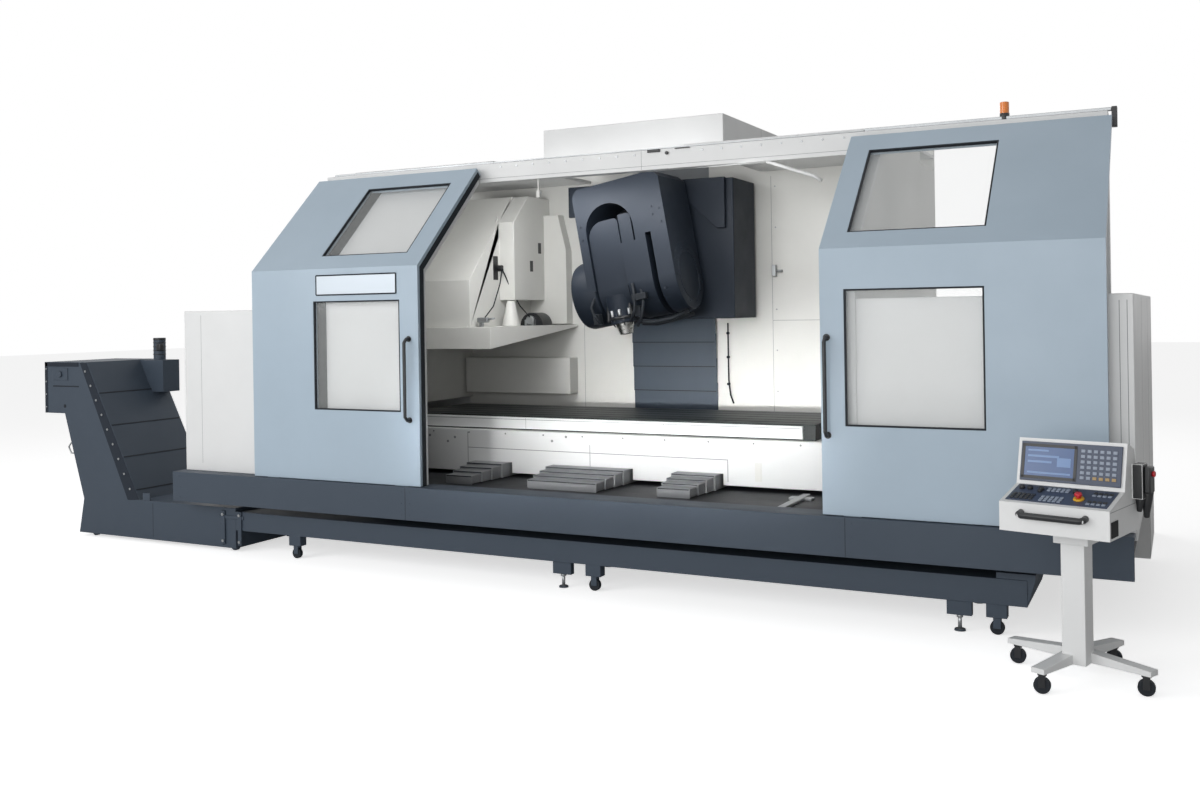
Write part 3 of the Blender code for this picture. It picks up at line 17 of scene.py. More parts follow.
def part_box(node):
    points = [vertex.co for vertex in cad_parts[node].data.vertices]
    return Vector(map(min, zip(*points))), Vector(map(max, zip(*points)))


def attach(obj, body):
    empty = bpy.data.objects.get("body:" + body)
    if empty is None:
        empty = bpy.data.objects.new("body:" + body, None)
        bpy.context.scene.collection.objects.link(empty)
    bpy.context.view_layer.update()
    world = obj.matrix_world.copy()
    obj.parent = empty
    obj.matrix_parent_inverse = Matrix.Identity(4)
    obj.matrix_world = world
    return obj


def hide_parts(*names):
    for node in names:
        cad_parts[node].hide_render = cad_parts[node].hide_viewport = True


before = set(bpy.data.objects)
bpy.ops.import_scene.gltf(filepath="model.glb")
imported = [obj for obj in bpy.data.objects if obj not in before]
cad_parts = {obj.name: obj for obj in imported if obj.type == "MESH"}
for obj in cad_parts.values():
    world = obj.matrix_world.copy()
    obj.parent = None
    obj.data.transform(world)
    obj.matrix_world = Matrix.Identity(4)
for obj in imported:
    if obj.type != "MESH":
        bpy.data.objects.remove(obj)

LOG = logging.getLogger("machining_center")
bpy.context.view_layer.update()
Point = tuple[float, float, float]
# How far trim reaches into the face that it lies on.
SUNK = 0.0005
# How strongly a display shines.
GLOW = 0.15
# How many soft patches of tone lie along a metre, and how far the roughness follows them.
PATCHES = 1.7
UNEVEN = 0.15
# How strongly a surface's grain shows in its relief.
RELIEF = 0.25
# The least turn between two faces that are still parts of one flat sheet, in degrees.
FLAT = 0.5
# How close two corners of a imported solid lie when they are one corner.
SAME_CORNER = 0.00002
FRONT: Point = (0.0, -1.0, 0.0)
BACK: Point = (0.0, 1.0, 0.0)
LEFT: Point = (-1.0, 0.0, 0.0)
RIGHT: Point = (1.0, 0.0, 0.0)
UP: Point = (0.0, 0.0, 1.0)


def linear(code: str) -> tuple[float, float, float, float]:
    """Turns an sRGB hex code into linear colour.

    Args:
        code: six hex digits, such as "a8b6c3".

    Returns:
        Linear red, green, blue and an alpha of 1.
    """
    values = [int(code[i:i + 2], 16) / 255 for i in (0, 2, 4)]
    light = [v / 12.92 if v <= 0.04045 else ((v + 0.055) / 1.055) ** 2.4 for v in values]
    return (*light, 1.0)


def add_node(
    tree: bpy.types.NodeTree, kind: str, settings: dict | None = None, links: dict | None = None
) -> bpy.types.Node:
    """Adds a node with its settings and the links into it.

    Args:
        tree: the material's or world's node tree.
        kind: the node's type, such as "ShaderNodeTexNoise".
        settings: values by input name or index, or by property name.
        links: output sockets by the name or index of the input that they feed.

    Returns:
        The new node.
    """
    node = tree.nodes.new(kind)
    for key, value in (settings or {}).items():
        if isinstance(key, int) or key in node.inputs:
            node.inputs[key].default_value = value
        else:
            setattr(node, key, value)
    for key, socket in (links or {}).items():
        tree.links.new(socket, node.inputs[key])
    return node


class Grain(Enum):
    """How a surface was made; of these, only LIT changes the material, which then shines."""

    ENAMEL = "sprayed enamel with a fine orange peel"
    BRUSHED = "steel drawn in one direction"
    GROUND = "iron ground and oiled"
    MOULDED = "moulded plastic or rubber"
    CLEAR = "clear pane"
    LIT = "display behind glass"


@dataclass(frozen=True)
class Finish:
    """One finish of the machine: what it is, its slot in the record and its look."""

    name: str
    slot: str
    colour: str
    roughness: float
    grain: Grain = Grain.ENAMEL
    metallic: float = 0.0
    soil: float = 0.04
    grain_mm: float = 3.0
    bump_mm: float = 0.02
    alpha: float = 1.0
    coat: float = 0.0
    gloss: float = 0.5
    along: Point = (1.0, 1.0, 1.0)

    def material(self) -> bpy.types.Material:
        """Makes the finish's material once, and gives it back afterwards."""
        made = bpy.data.materials.get(self.name)
        return made if made else self._build()

    def _build(self) -> bpy.types.Material:
        """Builds the nodes: a tone that drifts, a roughness that follows it and a fine bump."""
        material = bpy.data.materials.new(self.name)
        material.use_nodes = True
        tree = material.node_tree
        shader = tree.nodes["Principled BSDF"]
        base = linear(self.colour)
        dark = (*(channel * (1.0 - 3.0 * self.soil) for channel in base[:3]), 1.0)
        place = add_node(tree, "ShaderNodeTexCoord")
        mapping = add_node(
            tree, "ShaderNodeMapping", {"Scale": self.along}, {"Vector": place.outputs["Object"]}
        )
        vector = mapping.outputs["Vector"]
        patches = {"Scale": PATCHES, "Detail": 5.0, "Roughness": 0.6}
        drift = add_node(tree, "ShaderNodeTexNoise", patches, {"Vector": vector})
        tone = add_node(
            tree, "ShaderNodeMix", {"data_type": "RGBA", 6: base, 7: dark}, {0: drift.outputs["Fac"]}
        )
        tree.links.new(tone.outputs[2], shader.inputs["Base Color"])
        spread = add_node(
            tree,
            "ShaderNodeMapRange",
            {
                "From Min": 0.3,
                "From Max": 0.7,
                "To Min": self.roughness * (1.0 - UNEVEN),
                "To Max": min(1.0, self.roughness * (1.0 + UNEVEN)),
            },
            {"Value": drift.outputs["Fac"]},
        )
        tree.links.new(spread.outputs["Result"], shader.inputs["Roughness"])
        # The pattern's cells are as wide as grain_mm, worked out from the real surface.
        cells = add_node(
            tree, "ShaderNodeTexNoise", {"Scale": 1000.0 / self.grain_mm, "Detail": 2.0}, {"Vector": vector}
        )
        bump = add_node(
            tree,
            "ShaderNodeBump",
            {"Strength": RELIEF, "Distance": self.bump_mm / 1000.0},
            {"Height": cells.outputs["Fac"]},
        )
        tree.links.new(bump.outputs["Normal"], shader.inputs["Normal"])
        shader.inputs["Metallic"].default_value = self.metallic
        shader.inputs["Specular IOR Level"].default_value = self.gloss
        shader.inputs["Coat Weight"].default_value = self.coat
        shader.inputs["Alpha"].default_value = self.alpha
        if self.grain is Grain.LIT:
            shader.inputs["Emission Color"].default_value = base
            shader.inputs["Emission Strength"].default_value = GLOW
        return material


# Semi-gloss enamel on sheet steel: even, with a soft sheen and a faint orange peel.
WHITE = Finish("white_enamel_sheet", "white_enamel", "dfe0e0", 0.42)
# The same enamel on the inner sheets: a little warmer, and duller from coolant mist.
WHITE_LINER = Finish("white_enamel_liner", "white_enamel", "dcdcd8", 0.45, soil=0.05)
# Semi-gloss enamel on the doors' sheet: an even grey-blue with a thin clear sheen.
BLUE = Finish("grey_blue_enamel", "blue_enamel", "a3b4c2", 0.4, coat=0.05)
# Half-matt enamel on the plinth, conveyor and trough: slate, so that scuffs don't show.
DARK = Finish("slate_enamel", "dark_enamel", "3f4955", 0.5, gloss=0.3)
# The same enamel on the chip floor, made nearly black and blotched.
PAN = Finish("chip_floor_enamel", "dark_enamel", "16191d", 0.55, soil=0.09, gloss=0.3)
# Enamel over filler on the bed and column castings: mid grey with a coarse skin.
BED = Finish("bed_enamel_cast", "bed_enamel", "8d9195", 0.5, grain_mm=6.0, bump_mm=0.1)
# Enamel on a casting: a coarser skin than sheet has, and less even.
HEAD = Finish(
    "head_enamel_cast", "head_enamel", "222933", 0.5, soil=0.05, grain_mm=5.0, bump_mm=0.08, gloss=0.2
)
# The head's enamel again on the thin slats, painted paler than the castings above them: painted light that
# lifts the shade falling on the slats.
SLAT_PAINTED_LIGHT = Finish("slat_enamel_painted_paler", "head_enamel", "3f4955", 0.5, gloss=0.3)
# Painted shade: matt black laid in recesses, bores and openings where shade falls, leaving a plain dark shape.
SHADE_BLACK = Finish("painted_shade_black", "dark_enamel", "101113", 0.7, gloss=0.2)
# Joint sealant between sheets: a thin grey line on white enamel.
SEAM = Finish(
    "grey_joint_sealant", "white_enamel", "8b8e90", 0.7, Grain.MOULDED, grain_mm=1.5, gloss=0.3
)
# The same sealant in dark sheets: a thin line that is nearly black.
DARK_SEAM = Finish(
    "dark_joint_sealant", "dark_enamel", "1f242b", 0.7, Grain.MOULDED, grain_mm=1.5, gloss=0.3
)
# Ground cast iron, oiled: dark, with a low streaked sheen along the table.
IRON = Finish(
    "ground_table_iron", "table_iron", "2b2f2f", 0.45, Grain.GROUND, 0.6, 0.1, 2.0, 0.02,
    along=(0.05, 1.0, 1.0)
)
# Bare sheet steel, brushed along the ways: grey, with long soft streaks.
COVER = Finish(
    "way_cover_steel", "cover_steel", "8a8c8f", 0.42, Grain.BRUSHED, 0.45, 0.08, 1.5, 0.02,
    along=(1.0, 0.05, 1.0)
)
# Steel ground round: bright, with sharp reflections.
STEEL = Finish("ground_spindle_steel", "spindle_steel", "b9b9b6", 0.25, Grain.BRUSHED, 1.0, 0.05, 1.0, 0.01)
# Zinc-plated steel of bolts, screws and small brackets: pale, a little dull.
ZINC = Finish("zinc_plated_steel", "spindle_steel", "a9acae", 0.38, Grain.GROUND, 0.8, 0.06, 1.0, 0.01)
# Black rubber of seals, hoses and tyres: matt, with a fine moulded skin.
RUBBER = Finish(
    "black_rubber_seal", "black_plastic", "1b2026", 0.65, Grain.MOULDED, grain_mm=1.0, gloss=0.3
)
# Black moulded plastic of handles and knobs: a low sheen on the rounded edges.
PLASTIC = Finish("black_moulded_plastic", "black_plastic", "1a1c1f", 0.4, Grain.MOULDED, grain_mm=1.0)
# Slate moulded panel behind keys and display: even and half matt.
GREY_PLASTIC = Finish("slate_moulded_panel", "display", "364156", 0.4, Grain.MOULDED, grain_mm=1.0)
# Moulded key caps: pale and amber dots against the slate panel.
KEY = Finish("pale_key_caps", "display", "8c96a6", 0.45, Grain.MOULDED, grain_mm=1.0)
AMBER_KEY = Finish("amber_key_caps", "display", "a58a5c", 0.45, Grain.MOULDED, grain_mm=1.0)
# Glossy moulded red and yellow of the stop buttons: the only strong colours on the console.
RED = Finish("red_moulded_button", "black_plastic", "c01f2c", 0.3, Grain.MOULDED, grain_mm=1.0)
YELLOW = Finish("yellow_moulded_ring", "lamp_lens", "d9a520", 0.4, Grain.MOULDED, grain_mm=1.0)
# Anodised aluminium sheet: pale, with a fine brushed grain across.
PLATE = Finish(
    "anodised_name_plate", "spindle_steel", "c3ccd4", 0.4, Grain.BRUSHED, 0.3, 0.04, 1.0, 0.01,
    along=(0.1, 1.0, 1.0)
)
# Clear safety pane: nearly unseen, with a faint grey and clean reflections.
GLASS = Finish("clear_safety_pane", "window", "eef2f2", 0.05, Grain.CLEAR, soil=0.0, alpha=0.12)
# Display behind a pane: a dim blue field with paler figures that shine a little.
SCREEN = Finish("blue_display", "display", "35527f", 0.2, Grain.LIT)
FIGURE = Finish("display_figures", "display", "5d7ca8", 0.2, Grain.LIT)
# Clear-coated orange lens of the signal lamp: glossy and deep.
LENS = Finish("orange_lamp_lens", "lamp_lens", "e87f1c", 0.25, Grain.MOULDED, coat=0.5)


class Form:
    """A piece under construction, in world metres."""

    def __init__(self, name: str, local: Matrix = Matrix()) -> None:
        """Starts an empty piece.

        Args:
            name: the piece's name.
            local: the frame that its sizes are given in.
        """
        self.name = name
        self.local = local
        self.mesh = bmesh.new()

    def absorb(self, part: bmesh.types.BMesh, matrix: Matrix = Matrix()) -> "Form":
        """Adds a finished bit of shape, moved to its place, and frees it.

        Args:
            part: the bit of shape.
            matrix: where it goes in the piece's own frame.

        Returns:
            This piece.
        """
        bmesh.ops.transform(part, matrix=self.local @ matrix, verts=part.verts)
        holder = bpy.data.meshes.new("bit")
        part.to_mesh(holder)
        part.free()
        self.mesh.from_mesh(holder)
        bpy.data.meshes.remove(holder)
        return self

    def copy_node(self, node: str, bevel: float, curved: float = 28.0) -> "Form":
        """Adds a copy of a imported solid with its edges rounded.

        Args:
            node: the solid's name.
            bevel: how far the rounding reaches.
            curved: edges that turn less than this many degrees belong to a curve.

        Returns:
            This piece.
        """
        part = bmesh.new()
        part.from_mesh(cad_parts[node].data)
        bmesh.ops.remove_doubles(part, verts=part.verts, dist=SAME_CORNER)
        bmesh.ops.dissolve_limit(
            part, angle_limit=math.radians(FLAT), verts=part.verts, edges=part.edges
        )
        soft = math.radians(curved)
        for face in part.faces:
            turns = [edge.calc_face_angle(0.0) for edge in face.edges if len(edge.link_faces) == 2]
            face.smooth = any(0.01 < turn < soft for turn in turns)
        shared = [edge for edge in part.edges if len(edge.link_faces) == 2]
        hard = [edge for edge in shared if edge.calc_face_angle(0.0) >= soft]
        for edge in hard:
            edge.smooth = False
        if bevel:
            round_edges(part, hard, bevel)
        return self.absorb(part, self.local.inverted())

    def strip(self, start: Point, end: Point, normal: Point, width: float, thick: float) -> "Form":
        """Adds a flat bar that lies on a face, sunk in it by half a millimetre.

        Args:
            start: its first end, on the face.
            end: its other end, on the face.
            normal: the way that the face looks.
            width: how wide the bar is.
            thick: how far it stands proud.

        Returns:
            This piece.
        """
        first, last = Vector(start), Vector(end)
        along = last - first
        out = Vector(normal).normalized()
        across = out.cross(along.normalized())
        turn = Matrix((along.normalized(), across, out)).transposed().to_4x4()
        part = bmesh.new()
        bmesh.ops.create_cube(part, size=1.0)
        bmesh.ops.scale(part, vec=(along.length, width, thick + SUNK), verts=part.verts)
        return self.absorb(part, Matrix.Translation((first + last) / 2 + out * (thick - SUNK) / 2) @ turn)

    def studs(
        self, places: list[Point], normal: Point, radius: float, height: float, sides: int = 8
    ) -> "Form":
        """Adds bolt heads, buttons or dark holes on a face.

        Args:
            places: their centres on the face.
            normal: the way that the face looks.
            radius: their radius.
            height: how far they stand proud.
            sides: how many sides each has.

        Returns:
            This piece.
        """
        out = Vector(normal).normalized()
        for place in places:
            self.bar(Vector(place) - out * SUNK, Vector(place) + out * height, radius, sides=sides)
        return self

    def box(self, low: Point, high: Point, bevel: float = 0.002, turn: Matrix = Matrix()) -> "Form":
        """Adds a box between two corners, with rounded edges.

        Args:
            low: its lowest corner.
            high: its highest corner.
            bevel: how far the rounding reaches.
            turn: a turn about its own centre.

        Returns:
            This piece.
        """
        low_corner, high_corner = Vector(low), Vector(high)
        part = bmesh.new()
        bmesh.ops.create_cube(part, size=1.0)
        bmesh.ops.scale(part, vec=high_corner - low_corner, verts=part.verts)
        if bevel:
            round_edges(part, part.edges[:], bevel)
        return self.absorb(part, Matrix.Translation((low_corner + high_corner) / 2) @ turn)

    def boxes(self, sizes: tuple[tuple[Point, Point, float], ...]) -> "Form":
        """Adds boxes, each from its lowest corner, its highest corner and its rounding."""
        for low, high, bevel in sizes:
            self.box(low, high, bevel)
        return self

    def bar(
        self,
        start: Point,
        end: Point,
        radius: float,
        end_radius: float | None = None,
        sides: int = 24,
        bevel: float = 0.0,
    ) -> "Form":
        """Adds a round bar or cone from one point to another.

        Args:
            start: its first end.
            end: its other end.
            radius: its radius at the first end.
            end_radius: its radius at the other end, where that differs.
            sides: how many sides it has.
            bevel: how far its rims are rounded.

        Returns:
            This piece.
        """
        first, last = Vector(start), Vector(end)
        top = radius if end_radius is None else end_radius
        part = bmesh.new()
        bmesh.ops.create_cone(
            part, cap_ends=True, segments=sides, radius1=radius, radius2=top, depth=(last - first).length
        )
        for face in part.faces:
            face.smooth = len(face.verts) == 4
        if bevel:
            rims = [edge for edge in part.edges if any(len(face.verts) > 4 for face in edge.link_faces)]
            round_edges(part, rims, bevel)
        turn = (last - first).to_track_quat("Z", "Y").to_matrix().to_4x4()
        return self.absorb(part, Matrix.Translation((first + last) / 2) @ turn)

    def ring(self, centre: Point, axis: Point, radius: float, thick: float, sides: int = 32) -> "Form":
        """Adds a round ring, a full spin of a small circle.

        Args:
            centre: the ring's centre.
            axis: the direction that it faces.
            radius: from its centre to the middle of its stock.
            thick: the radius of its stock.
            sides: steps round the ring.

        Returns:
            This piece.
        """
        part = bmesh.new()
        upright = Matrix.Translation((radius, 0, 0)) @ Matrix.Rotation(math.pi / 2, 4, "X")
        bmesh.ops.create_circle(part, cap_ends=False, segments=10, radius=thick, matrix=upright)
        bmesh.ops.spin(
            part,
            geom=part.verts[:] + part.edges[:],
            cent=(0, 0, 0),
            axis=(0, 0, 1),
            angle=math.tau,
            steps=sides,
            use_merge=True,
        )
        bmesh.ops.remove_doubles(part, verts=part.verts, dist=0.00001)
        bmesh.ops.recalc_face_normals(part, faces=part.faces)
        for face in part.faces:
            face.smooth = True
        turn = Vector(axis).to_track_quat("Z", "Y").to_matrix().to_4x4()
        return self.absorb(part, Matrix.Translation(centre) @ turn)

    def slab(self, outline: list[Point], along: Point, bevel: float = 0.002) -> "Form":
        """Adds a flat outline, extruded along a direction.

        Args:
            outline: its corners in world metres, all in one plane.
            along: how far and which way it is extruded.
            bevel: how far its edges are rounded.

        Returns:
            This piece.
        """
        part = bmesh.new()
        face = part.faces.new([part.verts.new(corner) for corner in outline])
        grown = bmesh.ops.extrude_face_region(part, geom=[face])
        moved = [item for item in grown["geom"] if isinstance(item, bmesh.types.BMVert)]
        bmesh.ops.translate(part, vec=along, verts=moved)
        bmesh.ops.recalc_face_normals(part, faces=part.faces)
        if bevel:
            round_edges(part, part.edges[:], bevel)
        return self.absorb(part)

    def tube(self, points: list[Point], radius: float, sides: int = 10) -> "Form":
        """Adds a round bar or hose that follows points.

        Args:
            points: its centre line.
            radius: its radius.
            sides: how many sides it has.

        Returns:
            This piece.
        """
        places = [Vector(point) for point in points]
        part = bmesh.new()
        previous = None
        for index, place in enumerate(places):
            ahead = places[min(index + 1, len(places) - 1)] - places[max(index - 1, 0)]
            turn = ahead.to_track_quat("Z", "Y").to_matrix().to_4x4()
            made = bmesh.ops.create_circle(
                part, cap_ends=False, segments=sides, radius=radius, matrix=Matrix.Translation(place) @ turn
            )
            own = made["verts"]
            edges = list({edge for vert in own for edge in vert.link_edges if edge.other_vert(vert) in own})
            if previous:
                bmesh.ops.bridge_loops(part, edges=previous + edges)
            previous = edges
        open_edges = [edge for edge in part.edges if edge.is_boundary]
        bmesh.ops.holes_fill(part, edges=open_edges, sides=0)
        bmesh.ops.recalc_face_normals(part, faces=part.faces)
        for face in part.faces:
            face.smooth = len(face.verts) == 4
        return self.absorb(part)

    def place(self, finish: Finish, body: str = "root", replaces: tuple[str, ...] = ()) -> bpy.types.Object:
        """Makes the piece an object that rides on a body.

        Args:
            finish: its finish.
            body: the body that carries it.
            replaces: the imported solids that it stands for.

        Returns:
            The new object.
        """
        data = bpy.data.meshes.new(self.name)
        self.mesh.to_mesh(data)
        self.mesh.free()
        data.materials.clear()
        data.materials.append(finish.material())
        for face in data.polygons:
            face.material_index = 0
        piece = bpy.data.objects.new(self.name, data)
        bpy.context.scene.collection.objects.link(piece)
        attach(piece, body)
        if replaces:
            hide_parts(*replaces)
        LOG.info("%s: %d faces on %s", self.name, len(data.polygons), body)
        return piece


def row(start: Point, end: Point, count: int) -> list[Point]:
    """Spaces points evenly from one place to another.

    Args:
        start: the first point.
        end: the last point.
        count: how many there are.

    Returns:
        The points in order.
    """
    first, last = Vector(start), Vector(end)
    return [tuple(first.lerp(last, index / max(1, count - 1))) for index in range(count)]


def round_edges(part: bmesh.types.BMesh, edges: list, reach: float, segments: int = 2) -> None:
    """Rounds edges, and lets only the rounded strips shade smoothly.

    Args:
        part: the shape.
        edges: the edges to round.
        reach: how far the rounding reaches from each edge.
        segments: how many steps it has.
    """
    made = bmesh.ops.bevel(
        part,
        geom=edges,
        offset=reach,
        offset_type="OFFSET",
        affect="EDGES",
        segments=segments,
        profile=0.5,
        clamp_overlap=True,
        material=-1,
    )
    for face in made["faces"]:
        face.smooth = True


def dress(node: str, finish: Finish) -> None:
    """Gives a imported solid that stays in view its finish.

    Args:
        node: the solid's name.
        finish: its finish.
    """
    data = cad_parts[node].data
    if data.materials:
        for index in range(len(data.materials)):
            data.materials[index] = finish.material()
    else:
        data.materials.append(finish.material())
    LOG.info("%s keeps its packed shape", node)


def rounded(node: str, finish: Finish, body: str = "root", bevel: float = 0.003) -> None:
    """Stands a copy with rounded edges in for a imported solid.

    Args:
        node: the solid's name.
        finish: its finish.
        body: the body that carries it.
        bevel: how far the rounding reaches.
    """
    Form(node + "_form").copy_node(node, bevel).place(finish, body, (node,))


def corners(node: str) -> tuple[Vector, Vector]:
    """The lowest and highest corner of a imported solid."""
    low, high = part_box(node)
    return Vector(low), Vector(high)


# How far a lip lies from its sheet's edge and ends, how wide it is and how far it stands proud.
LIP_EDGE, LIP_INSET, LIP_WIDTH, LIP_THICK = 0.006, 0.01, 0.008, 0.002


def lip(name: str, low: Vector, high: Vector, z: float) -> Form:
    """Makes the thin lip along a cover's or slat's front edge.

    Args:
        name: the piece's name.
        low: the sheet's lowest corner.
        high: its highest corner.
        z: the lip's height.

    Returns:
        The piece, not yet placed.
    """
    start, end = (low.x + LIP_INSET, low.y, z), (high.x - LIP_INSET, low.y, z)
    return Form(name).strip(start, end, FRONT, LIP_WIDTH, LIP_THICK)


@dataclass(frozen=True)
class Lamp:
    """One soft lamp: its place, what it lights, its size, its power and its beam in degrees."""

    name: str
    place: Point
    aim: Point
    size: tuple[float, float]
    power: float
    beam: float = 180.0


# Large lamps before, over and behind the machine, and long work lights inside it.
LAMPS = (
    Lamp("key", (-5.5, -10.5, 4.6), (-0.5, -1.5, 1.8), (7.0, 5.0), 410.0),
    Lamp("fill", (2.5, -12.0, 2.8), (1.0, -1.5, 1.6), (7.0, 4.0), 290.0),
    Lamp("opening", (0.6, -8.5, 1.35), (0.6, -1.0, 1.30), (2.8, 0.4), 11.0, 15.0),
    Lamp("top", (-0.5, -1.0, 9.5), (0.3, 0.0, 1.0), (7.0, 7.0), 60.0),
    Lamp("rear", (-4.0, 9.0, 6.0), (0.0, 0.0, 2.0), (6.0, 6.0), 200.0),
    Lamp("work", (0.2, -1.08, 3.1), (0.6, 0.7, 1.9), (2.6, 0.3), 24.0),
    Lamp("changer", (-0.9, -1.15, 2.9), (-2.0, 0.1, 2.1), (0.8, 0.5), 9.0),
)


@dataclass
class Studio:
    """The camera, the floor, the lamps and the white surroundings."""

    camera_place: Point = (4.520, -9.761, 2.124)
    camera_heading: float = 27.05
    camera_roll: float = -0.0156
    lens: float = 34.28
    shift: float = -0.0732
    floor_size: float = 60.0
    horizon_light: float = 0.80
    zenith_light: float = 0.24
    right_share: float = 0.35
    floor_glow: float = 0.62

    def build(self) -> None:
        """Builds everything that isn't part of the machine."""
        self.camera()
        self.world()
        self.floor()
        self.lamps()

    def camera(self) -> None:
        """Stands the camera where the photograph was taken from."""
        data = bpy.data.cameras.new("photo_camera")
        data.lens = self.lens
        data.sensor_width = 36.0
        data.shift_y = self.shift
        data.clip_end = 200.0
        camera = bpy.data.objects.new("photo_camera", data)
        bpy.context.scene.collection.objects.link(camera)
        camera.matrix_world = (
            Matrix.Translation(self.camera_place)
            @ Matrix.Rotation(math.radians(self.camera_heading), 4, "Z")
            @ Matrix.Rotation(math.radians(90.0), 4, "X")
            @ Matrix.Rotation(self.camera_roll, 4, "Z")
        )
        bpy.context.scene.camera = camera
        bpy.context.scene.view_settings.view_transform = "Standard"

    def world(self) -> None:
        """White surroundings for the eye, gloss and panes, and a softer light for the rest."""
        world = bpy.data.worlds.new("studio_world")
        bpy.context.scene.world = world
        world.use_nodes = True
        tree = world.node_tree
        tree.nodes.clear()
        ray = add_node(tree, "ShaderNodeLightPath")
        seen = add_node(
            tree,
            "ShaderNodeMath",
            {"operation": "MAXIMUM"},
            {0: ray.outputs["Is Camera Ray"], 1: ray.outputs["Is Transmission Ray"]},
        )
        seen = add_node(
            tree,
            "ShaderNodeMath",
            {"operation": "MAXIMUM"},
            {0: seen.outputs[0], 1: ray.outputs["Is Glossy Ray"]},
        )
        # The room's soft light is weaker from overhead and from the right, as beside tall pale walls.
        way = add_node(tree, "ShaderNodeTexCoord")
        height = add_node(tree, "ShaderNodeSeparateXYZ", links={0: way.outputs["Generated"]})
        soft = add_node(
            tree,
            "ShaderNodeMapRange",
            {
                "From Min": 0.05,
                "From Max": 0.75,
                "To Min": self.horizon_light,
                "To Max": self.zenith_light,
            },
            {"Value": height.outputs["Z"]},
        )
        side = add_node(
            tree,
            "ShaderNodeMapRange",
            {"From Min": 0.0, "From Max": 0.9, "To Min": 1.0, "To Max": self.right_share},
            {"Value": height.outputs["X"]},
        )
        soft = add_node(
            tree,
            "ShaderNodeMath",
            {"operation": "MULTIPLY"},
            {0: soft.outputs["Result"], 1: side.outputs["Result"]},
        )
        strength = add_node(
            tree, "ShaderNodeMix", {"data_type": "FLOAT", 3: 1.0}, {0: seen.outputs[0], 2: soft.outputs[0]}
        )
        white = {"Color": (1, 1, 1, 1)}
        sky = add_node(tree, "ShaderNodeBackground", white, {"Strength": strength.outputs[0]})
        add_node(tree, "ShaderNodeOutputWorld", links={"Surface": sky.outputs[0]})

    def floor(self) -> None:
        """A plain pale floor that keeps the machine's shadow."""
        data = bpy.data.meshes.new("studio_floor")
        shape = bmesh.new()
        bmesh.ops.create_grid(shape, x_segments=1, y_segments=1, size=self.floor_size)
        shape.to_mesh(data)
        shape.free()
        floor = bpy.data.objects.new("studio_floor", data)
        bpy.context.scene.collection.objects.link(floor)
        floor.location.z = -0.002
        material = bpy.data.materials.new("pale_floor")
        material.use_nodes = True
        tree = material.node_tree
        shader = tree.nodes["Principled BSDF"]
        shader.inputs["Base Color"].default_value = linear("fafafa")
        shader.inputs["Roughness"].default_value = 0.9
        shader.inputs["Specular IOR Level"].default_value = 0.0
        ray = add_node(tree, "ShaderNodeLightPath")
        share = {"operation": "MULTIPLY", 1: self.floor_glow}
        glow = add_node(tree, "ShaderNodeMath", share, {0: ray.outputs["Is Camera Ray"]})
        shader.inputs["Emission Color"].default_value = (1, 1, 1, 1)
        tree.links.new(glow.outputs[0], shader.inputs["Emission Strength"])
        data.materials.append(material)

    def lamps(self) -> None:
        """Hangs the soft lamps, which the camera doesn't see."""
        for lamp in LAMPS:
            data = bpy.data.lights.new(lamp.name, "AREA")
            data.shape = "RECTANGLE"
            data.size, data.size_y = lamp.size
            data.energy = lamp.power
            data.spread = math.radians(lamp.beam)
            hung = bpy.data.objects.new(lamp.name, data)
            bpy.context.scene.collection.objects.link(hung)
            hung.location = lamp.place
            way = Vector(lamp.aim) - Vector(lamp.place)
            hung.rotation_euler = way.to_track_quat("-Z", "Y").to_euler()
            hung.visible_camera = False


